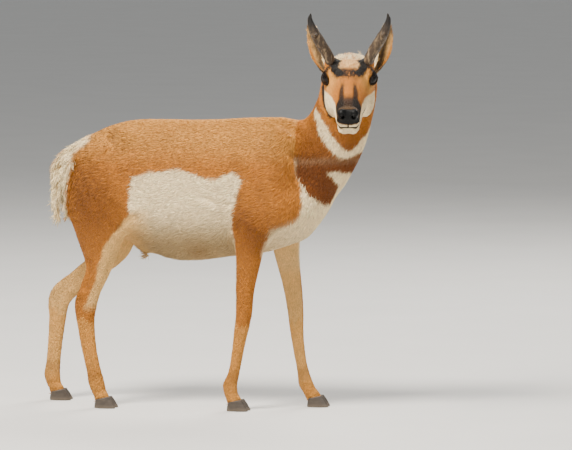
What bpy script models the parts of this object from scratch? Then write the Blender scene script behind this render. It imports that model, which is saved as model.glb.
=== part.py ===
"""A pronghorn buck, life size, standing still with its head turned to its right.

Metres, +X towards the animal's front, +Y to its left, +Z up, the floor at Z = 0.
The flesh is lofted tubes and muscle swellings, melted into one skin by a voxel remesh.
Thin slabs then part that skin into head, neck, torso, tail and legs.
Ears, horns, eyes and hooves are shapes of their own.
"""

import math
import random

import bmesh
import bpy
import numpy as np
from mathutils import Euler, Matrix, Vector
from mathutils.bvhtree import BVHTree

# Driving sizes
GAP = 0.0003
SKIN_VOXEL = 0.0034
SKIN_FACES = 4850
HEAD_TURN = math.radians(-80)
HEAD_PITCH = math.radians(32)
POLL = Vector((0.451, -0.038, 1.033))
HEAD_MIDDLE = (0.13, 0.0, -0.05)
EYE_RADIUS = 0.0212
EYE_CENTRE = Vector((0.0900, 0.0575, -0.0140))
EYE_LOOK = Vector((0.52, 0.82, 0.22))
EYE_TILT = 14
LID_THICK = 0.0028
LID_LENGTH = 0.0385
LID_HEIGHT_UP = 0.0140
LID_HEIGHT_DOWN = 0.0125
NOSTRIL_CENTRE = (0.2900, 0.0170, -0.005)
NOSTRIL_RADII = (0.0115, 0.0048, 0.0070)
MOUTH_MIDDLE = (0.238, 0.0, -0.046)
MOUTH_OPEN = 0.0022
MOUTH_DEPTH = 0.0045
EAR_STEPS = 7
EAR_LEAN = {"left": 0.0, "right": 0.014}
LOCK_FLAT = 0.12
LOCK_RINGS = ((0.0, 0.80), (0.35, 1.0), (0.70, 0.70), (1.0, 0.12))
LOCK_SINK = 0.005
CROWN = (
    (0.034, -0.028, 0.030),
    (0.030, -0.010, 0.034),
    (0.032, 0.008, 0.036),
    (0.028, 0.026, 0.030),
    (0.012, -0.020, 0.030),
    (0.008, 0.000, 0.034),
    (0.012, 0.020, 0.030),
)
RUMP_TOP = 0.786
RUMP_STEP = 0.030
RUMP_ROWS = 7
TAIL_TOP = 0.724
TAIL_ROWS = 6
HOOF_TOP = 0.030
HOOF_SLANT = 0.22
HOOF_TOE = 0.040
HOOF_HEEL = 0.026
HOOF_HEADING = 3
TOE_OUT = 0.0125
TOE_IN = 0.0105
TOE_SPREAD = 0.0128
TOE_SPLAY = 3
TOE_STEPS = 14
TOE_LEVELS = (
    {"high": 0.0, "long": 0.95, "wide": 0.93, "back": 0.0},
    {"high": 0.07, "long": 1.0, "wide": 1.0, "back": 0.0},
    {"high": 0.55, "long": 0.83, "wide": 0.97, "back": -0.003},
    {"high": 1.0, "long": 0.62, "wide": 0.90, "back": -0.005},
)

# The middle of each fleshy part, by which the parted pieces are told apart
ANCHORS = {
    "torso": (0.0, 0.0, 0.66),
    "neck": (0.40, 0.0, 0.82),
    "head": (0.47, -0.14, 0.98),
    "foreleg_lower_left": (0.29, 0.076, 0.14),
    "foreleg_lower_right": (0.12, -0.074, 0.14),
    "hindleg_lower_left": (-0.455, 0.082, 0.15),
    "hindleg_lower_right": (-0.30, -0.082, 0.15),
}

# Preview colour and roughness of each kind of node
LOOKS = {
    "coat": ((0.55, 0.33, 0.16), 0.9),
    "tail": ((0.85, 0.80, 0.70), 0.9),
    "ear": ((0.60, 0.40, 0.22), 0.9),
    "horn": ((0.05, 0.04, 0.035), 0.5),
    "hoof": ((0.04, 0.035, 0.03), 0.45),
    "eye": ((0.01, 0.008, 0.006), 0.1),
}

LEFT = Vector((0, 1, 0))
UP = Vector((0, 0, 1))
FORWARD = Vector((1, 0, 0))

# Torso sections: place along X, height of the widest level, half width, rise to the back, drop to the belly
TORSO = (
    (-0.408, 0.665, 0.024, 0.030, 0.040),
    (-0.397, 0.665, 0.062, 0.072, 0.085),
    (-0.363, 0.665, 0.092, 0.108, 0.122),
    (-0.300, 0.665, 0.107, 0.143, 0.155),
    (-0.200, 0.655, 0.114, 0.184, 0.178),
    (-0.112, 0.640, 0.123, 0.202, 0.203),
    (0.018, 0.630, 0.130, 0.212, 0.194),
    (0.105, 0.635, 0.121, 0.212, 0.185),
    (0.207, 0.645, 0.106, 0.208, 0.181),
    (0.270, 0.655, 0.094, 0.195, 0.170),
    (0.330, 0.660, 0.081, 0.160, 0.148),
    (0.375, 0.655, 0.060, 0.090, 0.088),
    (0.398, 0.645, 0.031, 0.040, 0.040),
)

# Neck sections: centre, half width, reach to the throat, reach to the nape, turn of the throat in degrees
NECK = (
    (0.300, 0.000, 0.690, 0.086, 0.125, 0.150, 0),
    (0.350, 0.000, 0.745, 0.084, 0.120, 0.120, 0),
    (0.387, 0.000, 0.785, 0.080, 0.104, 0.102, -8),
    (0.412, -0.002, 0.832, 0.077, 0.095, 0.092, -20),
    (0.429, -0.005, 0.880, 0.079, 0.093, 0.088, -38),
    (0.441, -0.007, 0.928, 0.082, 0.086, 0.084, -55),
    (0.446, -0.011, 0.972, 0.076, 0.074, 0.076, -68),
    (0.447, -0.018, 1.004, 0.052, 0.050, 0.050, -75),
)

# Head sections from the poll to the nose: place, half width, top, widest level, bottom
HEAD = (
    (-0.050, 0.040, -0.030, -0.060, -0.090),
    (-0.030, 0.060, -0.012, -0.058, -0.120),
    (0.000, 0.068, 0.000, -0.056, -0.136),
    (0.040, 0.073, 0.015, -0.054, -0.142),
    (0.075, 0.073, 0.026, -0.050, -0.140),
    (0.105, 0.067, 0.028, -0.048, -0.130),
    (0.140, 0.058, 0.025, -0.048, -0.114),
    (0.180, 0.050, 0.021, -0.047, -0.096),
    (0.220, 0.040, 0.018, -0.043, -0.081),
    (0.250, 0.035, 0.0165, -0.037, -0.074),
    (0.272, 0.032, 0.013, -0.030, -0.068),
    (0.287, 0.027, 0.006, -0.026, -0.057),
    (0.2965, 0.014, -0.008, -0.024, -0.038),
)

# Girth of a foreleg at each level: half width, reach forward, reach back
FORE_GIRTH = {
    "arm": (0.045, 0.070, 0.062),
    "elbow": (0.042, 0.053, 0.054),
    "forearm": (0.033, 0.040, 0.041),
    "above_knee": (0.0245, 0.028, 0.028),
    "knee": (0.0235, 0.0260, 0.0240),
    "below_knee": (0.0200, 0.0205, 0.0215),
    "cannon": (0.0160, 0.0165, 0.0180),
    "low_cannon": (0.0160, 0.0165, 0.0180),
    "fetlock": (0.0195, 0.0200, 0.0235),
    "pastern": (0.0185, 0.0180, 0.0195),
    "coronet": (0.0235, 0.0225, 0.0230),
    "sole": (0.0220, 0.0200, 0.0210),
}
FORE_PLACES = {
    "right": {
        "arm": (0.190, -0.080, 0.595),
        "elbow": (0.172, -0.088, 0.525),
        "forearm": (0.1634, -0.086, 0.455),
        "above_knee": (0.150, -0.082, 0.350),
        "knee": (0.1462, -0.080, 0.290),
        "below_knee": (0.1385, -0.078, 0.240),
        "cannon": (0.1265, -0.076, 0.170),
        "low_cannon": (0.1145, -0.074, 0.110),
        "fetlock": (0.1050, -0.072, 0.078),
        "pastern": (0.1100, -0.071, 0.052),
        "coronet": (0.1180, -0.070, 0.033),
        "sole": (0.1230, -0.070, 0.014),
    },
    "left": {
        "arm": (0.228, 0.080, 0.595),
        "elbow": (0.234, 0.088, 0.525),
        "forearm": (0.2395, 0.086, 0.452),
        "above_knee": (0.2590, 0.082, 0.345),
        "knee": (0.2655, 0.080, 0.290),
        "below_knee": (0.2700, 0.079, 0.240),
        "cannon": (0.2790, 0.077, 0.170),
        "low_cannon": (0.2905, 0.076, 0.110),
        "fetlock": (0.2990, 0.075, 0.078),
        "pastern": (0.3120, 0.075, 0.052),
        "coronet": (0.3240, 0.075, 0.033),
        "sole": (0.3300, 0.075, 0.014),
    },
}

# Girth of a hind leg at each level: half width, reach forward, reach back
HIND_GIRTH = {
    "hip": (0.055, 0.100, 0.095),
    "thigh": (0.056, 0.102, 0.102),
    "stifle": (0.050, 0.092, 0.120),
    "low_thigh": (0.044, 0.067, 0.103),
    "gaskin": (0.036, 0.051, 0.068),
    "low_gaskin": (0.029, 0.038, 0.043),
    "tendon": (0.022, 0.029, 0.037),
    "hock": (0.0235, 0.0330, 0.0370),
    "below_hock": (0.0205, 0.0270, 0.0275),
    "cannon": (0.0180, 0.0220, 0.0235),
    "low_cannon": (0.0175, 0.0205, 0.0230),
    "fetlock": (0.0205, 0.0220, 0.0260),
    "pastern": (0.0190, 0.0190, 0.0200),
    "coronet": (0.0235, 0.0225, 0.0230),
    "sole": (0.0220, 0.0200, 0.0210),
}
HIND_PLACES = {
    "right": {
        "hip": (-0.285, -0.062, 0.705),
        "thigh": (-0.278, -0.074, 0.640),
        "stifle": (-0.264, -0.086, 0.575),
        "low_thigh": (-0.266, -0.092, 0.520),
        "gaskin": (-0.273, -0.093, 0.468),
        "low_gaskin": (-0.281, -0.091, 0.418),
        "tendon": (-0.304, -0.088, 0.355),
        "hock": (-0.322, -0.085, 0.308),
        "below_hock": (-0.3235, -0.084, 0.262),
        "cannon": (-0.3155, -0.083, 0.195),
        "low_cannon": (-0.2990, -0.082, 0.115),
        "fetlock": (-0.2900, -0.081, 0.078),
        "pastern": (-0.2830, -0.080, 0.052),
        "coronet": (-0.2750, -0.080, 0.033),
        "sole": (-0.2700, -0.080, 0.014),
    },
    "left": {
        "hip": (-0.285, 0.062, 0.705),
        "thigh": (-0.282, 0.074, 0.640),
        "stifle": (-0.272, 0.086, 0.575),
        "low_thigh": (-0.268, 0.092, 0.518),
        "gaskin": (-0.276, 0.093, 0.462),
        "low_gaskin": (-0.322, 0.091, 0.408),
        "tendon": (-0.390, 0.088, 0.350),
        "hock": (-0.444, 0.085, 0.300),
        "below_hock": (-0.4510, 0.084, 0.252),
        "cannon": (-0.4570, 0.083, 0.190),
        "low_cannon": (-0.4650, 0.082, 0.115),
        "fetlock": (-0.4670, 0.081, 0.078),
        "pastern": (-0.4600, 0.080, 0.052),
        "coronet": (-0.4520, 0.080, 0.033),
        "sole": (-0.4470, 0.080, 0.014),
    },
}

# Tail sections: centre, half width, reach outward, reach inward
TAIL = (
    (-0.350, 0.0, 0.744, 0.020, 0.014, 0.014),
    (-0.385, 0.0, 0.744, 0.024, 0.015, 0.015),
    (-0.414, 0.0, 0.724, 0.029, 0.015, 0.016),
    (-0.429, 0.0, 0.682, 0.030, 0.014, 0.015),
    (-0.433, 0.0, 0.638, 0.026, 0.012, 0.013),
    (-0.430, 0.0, 0.604, 0.017, 0.009, 0.009),
    (-0.426, 0.0, 0.582, 0.006, 0.004, 0.004),
)

# Muscles and bony points on each side of the body: centre on the left side, radii, lean in degrees about Y
BODY_SWELLINGS = {
    "shoulder_blade": ((0.225, 0.074, 0.690), (0.080, 0.040, 0.140), 18),
    "upper_arm": ((0.225, 0.080, 0.585), (0.105, 0.042, 0.070), -28),
    "point_of_shoulder": ((0.312, 0.062, 0.610), (0.050, 0.036, 0.060), 0),
    "haunch": ((-0.300, 0.072, 0.655), (0.100, 0.052, 0.120), 0),
    "point_of_hip": ((-0.205, 0.066, 0.785), (0.050, 0.035, 0.036), 0),
    "flank": ((-0.165, 0.096, 0.585), (0.060, 0.022, 0.070), 30),
}

# Swellings on each side of the head in its own frame: centre, radii
HEAD_SWELLINGS = {
    "orbit": ((0.080, 0.049, -0.010), (0.042, 0.0235, 0.033)),
    "brow": ((0.078, 0.051, 0.008), (0.032, 0.0200, 0.012)),
    "cheek": ((0.085, 0.044, -0.088), (0.066, 0.029, 0.052)),
    "nostril_wing": ((0.281, 0.0185, -0.001), (0.017, 0.0135, 0.0150)),
    "upper_lip": ((0.272, 0.016, -0.030), (0.022, 0.0185, 0.0150)),
    "lower_lip": ((0.262, 0.013, -0.058), (0.024, 0.0180, 0.0125)),
    "horn_base": ((0.055, 0.052, 0.012), (0.028, 0.022, 0.016)),
}

# Horn sections in the head's frame, on the left: centre, half width across, reach forward, reach back
HORN = (
    (0.060, 0.0520, 0.004, 0.0150, 0.022, 0.022),
    (0.056, 0.0590, 0.034, 0.0148, 0.021, 0.021),
    (0.051, 0.0740, 0.062, 0.0142, 0.020, 0.019),
    (0.046, 0.0890, 0.090, 0.0138, 0.019, 0.018),
    (0.041, 0.1010, 0.113, 0.0125, 0.016, 0.016),
    (0.036, 0.1090, 0.134, 0.0095, 0.012, 0.012),
    (0.031, 0.1125, 0.152, 0.0062, 0.0075, 0.0075),
    (0.029, 0.1095, 0.168, 0.0018, 0.0022, 0.0022),
)

# The small prong on the front of each horn: centre, half width, half depth
PRONG = (
    (0.040, 0.0980, 0.098, 0.0100, 0.012),
    (0.058, 0.0985, 0.109, 0.0085, 0.009),
    (0.068, 0.0980, 0.117, 0.0052, 0.005),
    (0.075, 0.0970, 0.125, 0.0015, 0.0015),
)

# Ear sections in the head's frame, on the left: centre, half width, angle that the cup reaches round each side
EAR = (
    (0.014, 0.0600, -0.050, 0.0130, 165),
    (-0.008, 0.0760, -0.038, 0.0165, 140),
    (-0.036, 0.0890, -0.021, 0.0225, 112),
    (-0.066, 0.0970, -0.002, 0.0245, 95),
    (-0.094, 0.1030, 0.015, 0.0200, 86),
    (-0.114, 0.1060, 0.027, 0.0120, 80),
    (-0.126, 0.1080, 0.034, 0.0028, 70),
)
EAR_OPENING = Vector((0.80, 0.42, 0.42))
EAR_THICK = 0.0036

# Sleeves that part each upper leg from the body and from its own lower leg, as rows like the leg's
FORE_SLEEVE = {
    "right": (
        (0.178, -0.098, 0.592, 0.006, 0.010, 0.010),
        (0.176, -0.098, 0.583, 0.034, 0.040, 0.040),
        (0.173, -0.097, 0.560, 0.051, 0.060, 0.062),
        (0.169, -0.095, 0.520, 0.054, 0.066, 0.066),
        (0.1634, -0.089, 0.455, 0.047, 0.056, 0.056),
        (0.150, -0.082, 0.350, 0.040, 0.045, 0.045),
        (0.142, -0.079, 0.264, 0.040, 0.045, 0.045),
    ),
    "left": (
        (0.234, 0.098, 0.592, 0.006, 0.010, 0.010),
        (0.234, 0.098, 0.583, 0.034, 0.040, 0.040),
        (0.235, 0.097, 0.560, 0.051, 0.060, 0.062),
        (0.236, 0.095, 0.520, 0.054, 0.066, 0.066),
        (0.2395, 0.089, 0.452, 0.047, 0.056, 0.056),
        (0.2590, 0.082, 0.345, 0.040, 0.045, 0.045),
        (0.2675, 0.079, 0.264, 0.040, 0.045, 0.045),
    ),
}
HIND_SLEEVE = {
    "right": (
        (-0.262, -0.115, 0.636, 0.010, 0.020, 0.020),
        (-0.262, -0.115, 0.624, 0.050, 0.066, 0.066),
        (-0.264, -0.114, 0.595, 0.078, 0.098, 0.100),
        (-0.266, -0.112, 0.560, 0.080, 0.110, 0.128),
        (-0.266, -0.105, 0.520, 0.072, 0.094, 0.130),
        (-0.281, -0.091, 0.418, 0.052, 0.062, 0.070),
        (-0.312, -0.086, 0.330, 0.045, 0.055, 0.060),
        (-0.3235, -0.084, 0.272, 0.045, 0.055, 0.055),
    ),
    "left": (
        (-0.268, 0.115, 0.636, 0.010, 0.020, 0.020),
        (-0.268, 0.115, 0.624, 0.050, 0.066, 0.066),
        (-0.270, 0.114, 0.595, 0.078, 0.098, 0.100),
        (-0.270, 0.112, 0.560, 0.080, 0.110, 0.128),
        (-0.270, 0.105, 0.518, 0.072, 0.094, 0.125),
        (-0.322, 0.091, 0.410, 0.052, 0.066, 0.074),
        (-0.415, 0.086, 0.325, 0.046, 0.062, 0.066),
        (-0.449, 0.084, 0.268, 0.046, 0.062, 0.062),
    ),
}

# Planes that part the flesh: a point, the way the plane faces, its half sizes
PARTINGS = {
    "neck_base": ((0.352, 0.0, 0.742), (0.85, 0.0, 0.526), (0.15, 0.19)),
    "head_base": ((0.447, -0.010, 0.912), (0.10, -0.60, 0.79), (0.14, 0.14)),
}


def clear_scene():
    for old in list(bpy.data.objects):
        bpy.data.objects.remove(old)


def material(name, colour, roughness, metallic=0.0):
    made = bpy.data.materials.new(name)
    made.use_nodes = True
    shader = made.node_tree.nodes["Principled BSDF"]
    shader.inputs["Base Color"].default_value = (*colour, 1)
    shader.inputs["Roughness"].default_value = roughness
    shader.inputs["Metallic"].default_value = metallic
    return made


def head_matrix():
    """The head's own frame: X from the poll to the nose, Y to its left, Z out of the forehead."""
    turn = Matrix.Rotation(HEAD_TURN, 4, "Z") @ Matrix.Rotation(HEAD_PITCH, 4, "Y")
    return Matrix.Translation(POLL) @ turn


def mesh_object(name, verts, faces):
    mesh = bpy.data.meshes.new(name)
    mesh.from_pydata([tuple(v) for v in verts], [], faces)
    mesh.validate()
    made = bpy.data.objects.new(name, mesh)
    bpy.context.scene.collection.objects.link(made)
    return made


def smooth_rows(rows, step):
    """Rows of numbers read along a smooth curve through the given rows, one about every step metres."""
    rows = np.array(rows, float)
    chord = np.maximum(np.linalg.norm(np.diff(rows[:, :3], axis=0), axis=1), 1e-6)
    place = np.concatenate([[0], np.cumsum(chord)])
    slope = np.gradient(rows, place, axis=0)
    wanted = np.linspace(0, place[-1], max(2, round(place[-1] / step) + 1))
    found = np.clip(np.searchsorted(place, wanted, side="right") - 1, 0, len(chord) - 1)
    t = ((wanted - place[found]) / chord[found])[:, None]
    width = chord[found][:, None]
    return (
        rows[found] * (2 * t**3 - 3 * t**2 + 1)
        + slope[found] * width * (t**3 - 2 * t**2 + t)
        + rows[found + 1] * (-2 * t**3 + 3 * t**2)
        + slope[found + 1] * width * (t**3 - t**2)
    )


def ring(centre, across, rise_way, half_width, rise, drop, sides, square=2.0):
    """An oval of points whose two halves reach out by rise and by drop."""
    points = []
    for k in range(sides):
        angle = 2 * math.pi * k / sides
        c, s = math.cos(angle), math.sin(angle)
        side = math.copysign(abs(c) ** (2 / square), c) * half_width
        out = math.copysign(abs(s) ** (2 / square), s) * (rise if s > 0 else drop)
        points.append(centre + across * side + rise_way * out)
    return points


def loft(name, rings):
    """One closed body through rings that all have as many points, with a fan over each end."""
    sides = len(rings[0])
    verts = [point for one in rings for point in one]
    faces = []
    for i in range(len(rings) - 1):
        for k in range(sides):
            a, b = i * sides + k, i * sides + (k + 1) % sides
            faces.append((a, b, b + sides, a + sides))
    for i, turned in ((0, True), (len(rings) - 1, False)):
        verts.append(sum(rings[i], Vector()) / sides)
        tip = len(verts) - 1
        for k in range(sides):
            a, b = i * sides + k, i * sides + (k + 1) % sides
            faces.append((b, a, tip) if turned else (a, b, tip))
    made = mesh_object(name, verts, faces)
    face_outwards(made)
    return made


def face_outwards(obj):
    """Splits the faces into triangles, which stay flat when they are cut, and turns them outwards."""
    work = bmesh.new()
    work.from_mesh(obj.data)
    bmesh.ops.triangulate(work, faces=work.faces)
    bmesh.ops.recalc_face_normals(work, faces=work.faces)
    if work.calc_volume(signed=True) < 0:
        bmesh.ops.reverse_faces(work, faces=work.faces)
    work.to_mesh(obj.data)
    work.free()


def tube(name, rows, across=LEFT, step=0.012, sides=28, square=2.0):
    """A body along a bent centreline. Each row is a centre, half width, reach ahead and reach behind."""
    rows = smooth_rows(rows, step)
    ways = np.gradient(rows[:, :3], axis=0)
    rings = []
    for row, way in zip(rows, ways):
        way = Vector(way).normalized()
        side = Vector(across)
        if len(row) > 6:
            side.rotate(Matrix.Rotation(math.radians(row[6]), 3, "Z"))
        side = (side - way * side.dot(way)).normalized()
        ahead = side.cross(way)
        rings.append(ring(Vector(row[:3]), side, ahead, *row[3:6], sides, square))
    return loft(name, rings)


def swelling(name, centre, radii, lean=0.0, frame=None, fine=3):
    """A smooth egg, leaning about Y."""
    work = bmesh.new()
    bmesh.ops.create_icosphere(work, subdivisions=fine, radius=1)
    turn = Matrix.Rotation(math.radians(lean), 4, "Y")
    place = Matrix.Translation(centre) @ turn @ Matrix.Diagonal((*radii, 1))
    bmesh.ops.transform(work, matrix=(frame or Matrix()) @ place, verts=work.verts)
    mesh = bpy.data.meshes.new(name)
    work.to_mesh(mesh)
    work.free()
    made = bpy.data.objects.new(name, mesh)
    bpy.context.scene.collection.objects.link(made)
    return made


def mirrored(point, side):
    return Vector((point[0], point[1] if side == "left" else -point[1], point[2]))


def torso_pieces():
    rings = []
    for x, middle, half, rise, drop in smooth_rows(
        [(x, z, 0.0, half, rise, drop) for x, z, half, rise, drop in TORSO], 0.015
    )[:, [0, 1, 3, 4, 5]]:
        rings.append(ring(Vector((x, 0, middle)), LEFT, UP, half, rise, drop, 40, 2.15))
    pieces = [loft("torso_tube", rings)]
    for name, (centre, radii, lean) in BODY_SWELLINGS.items():
        for side in ("left", "right"):
            pieces.append(swelling(name, mirrored(centre, side), radii, lean))
    pieces.append(swelling("brisket", (0.296, 0, 0.585), (0.068, 0.050, 0.075), 0))
    pieces.append(swelling("sheath", (-0.160, 0, 0.460), (0.040, 0.018, 0.016), 12))
    return pieces


def head_pieces():
    frame = head_matrix()
    rings = []
    for x, half, top, widest, bottom in smooth_rows(
        [(x, 0, 0, half, top, widest, bottom) for x, half, top, widest, bottom in HEAD], 0.006
    )[:, [0, 3, 4, 5, 6]]:
        flat = ring(Vector((x, 0, widest)), LEFT, UP, half, top - widest, widest - bottom, 36, 2.2)
        rings.append([frame @ point for point in flat])
    pieces = [loft("head_tube", rings)]
    for name, (centre, radii) in HEAD_SWELLINGS.items():
        for side in ("left", "right"):
            pieces.append(swelling(name, mirrored(centre, side), radii, 0, frame))
    return pieces


def downward(rows):
    """Rows of a tube that runs down, whose reach forward is behind it as the tube sees it."""
    return [(*row[:4], row[5], row[4]) for row in rows]


def leg_rows(places, girths):
    return downward([(*places[level], *girths[level]) for level in girths])


def joined(name, pieces):
    """The pieces' meshes as one object, still as separate shells."""
    work = bmesh.new()
    for piece in pieces:
        work.from_mesh(piece.data)
    mesh = bpy.data.meshes.new(name)
    work.to_mesh(mesh)
    work.free()
    for piece in pieces:
        bpy.data.objects.remove(piece)
    made = bpy.data.objects.new(name, mesh)
    bpy.context.scene.collection.objects.link(made)
    return made


def apply_modifiers(obj):
    graph = bpy.context.evaluated_depsgraph_get()
    mesh = bpy.data.meshes.new_from_object(obj.evaluated_get(graph))
    obj.modifiers.clear()
    obj.data = mesh


def ramp(value, low, high):
    t = np.clip((value - low) / (high - low), 0, 1)
    return t * t * (3 - 2 * t)


def points_of(obj):
    found = np.empty(len(obj.data.vertices) * 3, np.float32)
    obj.data.vertices.foreach_get("co", found)
    return found.reshape(-1, 3)


def weigh(obj, name, weights):
    group = obj.vertex_groups.new(name=name)
    steps = 20
    level = np.round(np.clip(weights, 0, 1) * steps).astype(int)
    for k in range(1, steps + 1):
        group.add(np.nonzero(level == k)[0].tolist(), k / steps, "REPLACE")
    return group.name


def head_places(points):
    """The points in the head's own frame."""
    back = np.array(head_matrix().inverted())
    return points @ back[:3, :3].T + back[:3, 3]


def melted_skin():
    """Every tube and swelling of the flesh as one smooth closed skin."""
    pieces = torso_pieces() + head_pieces() + [tube("neck", NECK)]
    for side in ("left", "right"):
        pieces.append(tube("foreleg", leg_rows(FORE_PLACES[side], FORE_GIRTH), sides=24))
        pieces.append(tube("hind_leg", leg_rows(HIND_PLACES[side], HIND_GIRTH), sides=24))
    skin = joined("skin", pieces)
    melt = skin.modifiers.new("melt", "REMESH")
    melt.mode = "VOXEL"
    melt.voxel_size = SKIN_VOXEL
    apply_modifiers(skin)
    points = points_of(skin)
    local = head_places(points)
    legs = 1 - ramp(points[:, 2], 0.36, 0.54)
    away = np.linalg.norm(local - np.array(HEAD_MIDDLE), axis=1)
    head = ramp(local[:, 0], -0.045, 0.03) * (1 - ramp(away, 0.18, 0.22))
    for name, firm, rounds in (("body", np.maximum(legs, head), 170), ("all", 0 * legs, 12)):
        smooth = skin.modifiers.new(name, "SMOOTH")
        smooth.factor = 0.5
        smooth.iterations = rounds
        smooth.vertex_group = weigh(skin, name, 1 - firm)
        apply_modifiers(skin)
    thin = skin.modifiers.new("thin", "DECIMATE")
    thin.ratio = SKIN_FACES / (2 * len(skin.data.polygons))
    apply_modifiers(skin)
    return skin


def turned_to(way):
    return Vector(way).normalized().to_track_quat("Z", "Y").to_matrix().to_4x4()


def box(name, matrix, half_sizes):
    work = bmesh.new()
    bmesh.ops.create_cube(work, size=2)
    place = matrix @ Matrix.Diagonal((*half_sizes, 1))
    bmesh.ops.transform(work, matrix=place, verts=work.verts)
    mesh = bpy.data.meshes.new(name)
    work.to_mesh(mesh)
    work.free()
    made = bpy.data.objects.new(name, mesh)
    bpy.context.scene.collection.objects.link(made)
    return made


def parting_planes():
    made = []
    for name, (centre, way, (half_x, half_y)) in PARTINGS.items():
        place = Matrix.Translation(centre) @ turned_to(way)
        made.append(box(name, place, (half_x, half_y, GAP / 2)))
    return made


def boolean(obj, others, operation, solver="EXACT"):
    """The object joined with, or cut by, the others, which are then removed."""
    group = bpy.data.collections.new("helpers")
    bpy.context.scene.collection.children.link(group)
    for other in others:
        bpy.context.scene.collection.objects.unlink(other)
        group.objects.link(other)
    change = obj.modifiers.new(operation, "BOOLEAN")
    change.operation = operation
    change.operand_type = "COLLECTION"
    change.collection = group
    change.solver = solver
    apply_modifiers(obj)
    for other in others:
        bpy.data.objects.remove(other)
    bpy.data.collections.remove(group)


def grown(obj, by):
    """A copy whose surface stands out by a hair's breadth."""
    copy = duplicate(obj)
    points = points_of(copy)
    normals = np.empty(len(points) * 3, np.float32)
    copy.data.vertices.foreach_get("normal", normals)
    copy.data.vertices.foreach_set("co", (points + by * normals.reshape(-1, 3)).ravel())
    copy.data.update()
    return copy


def duplicate(obj):
    copy = obj.copy()
    copy.data = obj.data.copy()
    bpy.context.scene.collection.objects.link(copy)
    return copy


def take_out(skin, name, rows):
    """Makes the flesh inside a sleeve a node of its own, a hair's breadth from the flesh outside."""
    sleeve = tube("sleeve", downward(rows), sides=16, step=0.055)
    cover = grown(sleeve, GAP)
    inside = duplicate(skin)
    boolean(inside, [sleeve], "INTERSECT")
    boolean(skin, [cover], "DIFFERENCE")
    keep_largest(inside, name)


def eye_places():
    frame = head_matrix()
    for side in ("left", "right"):
        yield side, frame @ mirrored(EYE_CENTRE, side), frame


def ball(name, centre, radius):
    work = bmesh.new()
    bmesh.ops.create_icosphere(work, subdivisions=3, radius=radius)
    bmesh.ops.transform(work, matrix=Matrix.Translation(centre) @ head_matrix().to_3x3().to_4x4(), verts=work.verts)
    mesh = bpy.data.meshes.new(name)
    work.to_mesh(mesh)
    work.free()
    made = bpy.data.objects.new(name, mesh)
    bpy.context.scene.collection.objects.link(made)
    return made


def lid_opening(side, frame):
    """An almond-shaped plug that opens the lids, wider than high and dropping to the inner corner."""
    look = EYE_LOOK.normalized()
    along = (FORWARD - look * look.x).normalized()
    along.rotate(Matrix.Rotation(math.radians(EYE_TILT), 3, look))
    rise = along.cross(look)
    rings = []
    for depth, wide in ((0.007, 0.93), (0.034, 1.12)):
        points = []
        for k in range(24):
            angle = 2 * math.pi * k / 24
            c, s = math.cos(angle), math.sin(angle)
            high = (LID_HEIGHT_UP if s > 0 else LID_HEIGHT_DOWN) * math.copysign(abs(s) ** 1.25, s)
            offset = along * (LID_LENGTH / 2 * c * wide) + rise * (high * wide)
            points.append(frame @ mirrored(EYE_CENTRE + look * depth + offset, side))
        rings.append(points)
    return loft("lid_opening", rings)


def nostril(side, frame):
    """A comma-shaped pit that slants in at the front of the muzzle."""
    out = 1 if side == "left" else -1
    turn = Euler((math.radians(35 * out), math.radians(30), math.radians(-25 * out))).to_matrix().to_4x4()
    centre = mirrored(NOSTRIL_CENTRE, side)
    return swelling("nostril", Vector(), NOSTRIL_RADII, 0, frame @ Matrix.Translation(centre) @ turn, 2)


def surface_outline(tree, frame, middle, count, spread, sink):
    """Points round the muzzle, sunk a little into its skin, from one corner of the mouth to the other."""
    found = []
    for k in range(count):
        angle = math.radians(spread) * (2 * k / (count - 1) - 1)
        way = frame.to_3x3() @ Vector((math.cos(angle), math.sin(angle), 0))
        start = frame @ Vector(middle)
        hit = tree.ray_cast(start, way)[0]
        found.append(hit - way * sink)
    return found


def mouth_line(tree, frame):
    points = surface_outline(tree, frame, MOUTH_MIDDLE, 21, 118, 0.0005)
    rows = [(*point, MOUTH_OPEN / 2, MOUTH_DEPTH, MOUTH_DEPTH) for point in points]
    return tube("mouth", rows, across=frame.to_3x3() @ UP, step=0.009, sides=6)


def horn(side, frame):
    rows = []
    for x, y, z, *reach in HORN:
        rows.append((*(frame @ mirrored((x, y, z), side)), *reach))
    across = frame.to_3x3() @ LEFT
    made = tube(f"horn_{side}", rows, across=across, step=0.016, sides=11)
    rows = [(*(frame @ mirrored(place, side)), wide, deep, deep) for *place, wide, deep in PRONG]
    boolean(made, [tube("prong", rows, across=across, step=0.012, sides=7)], "UNION")
    return made


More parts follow.
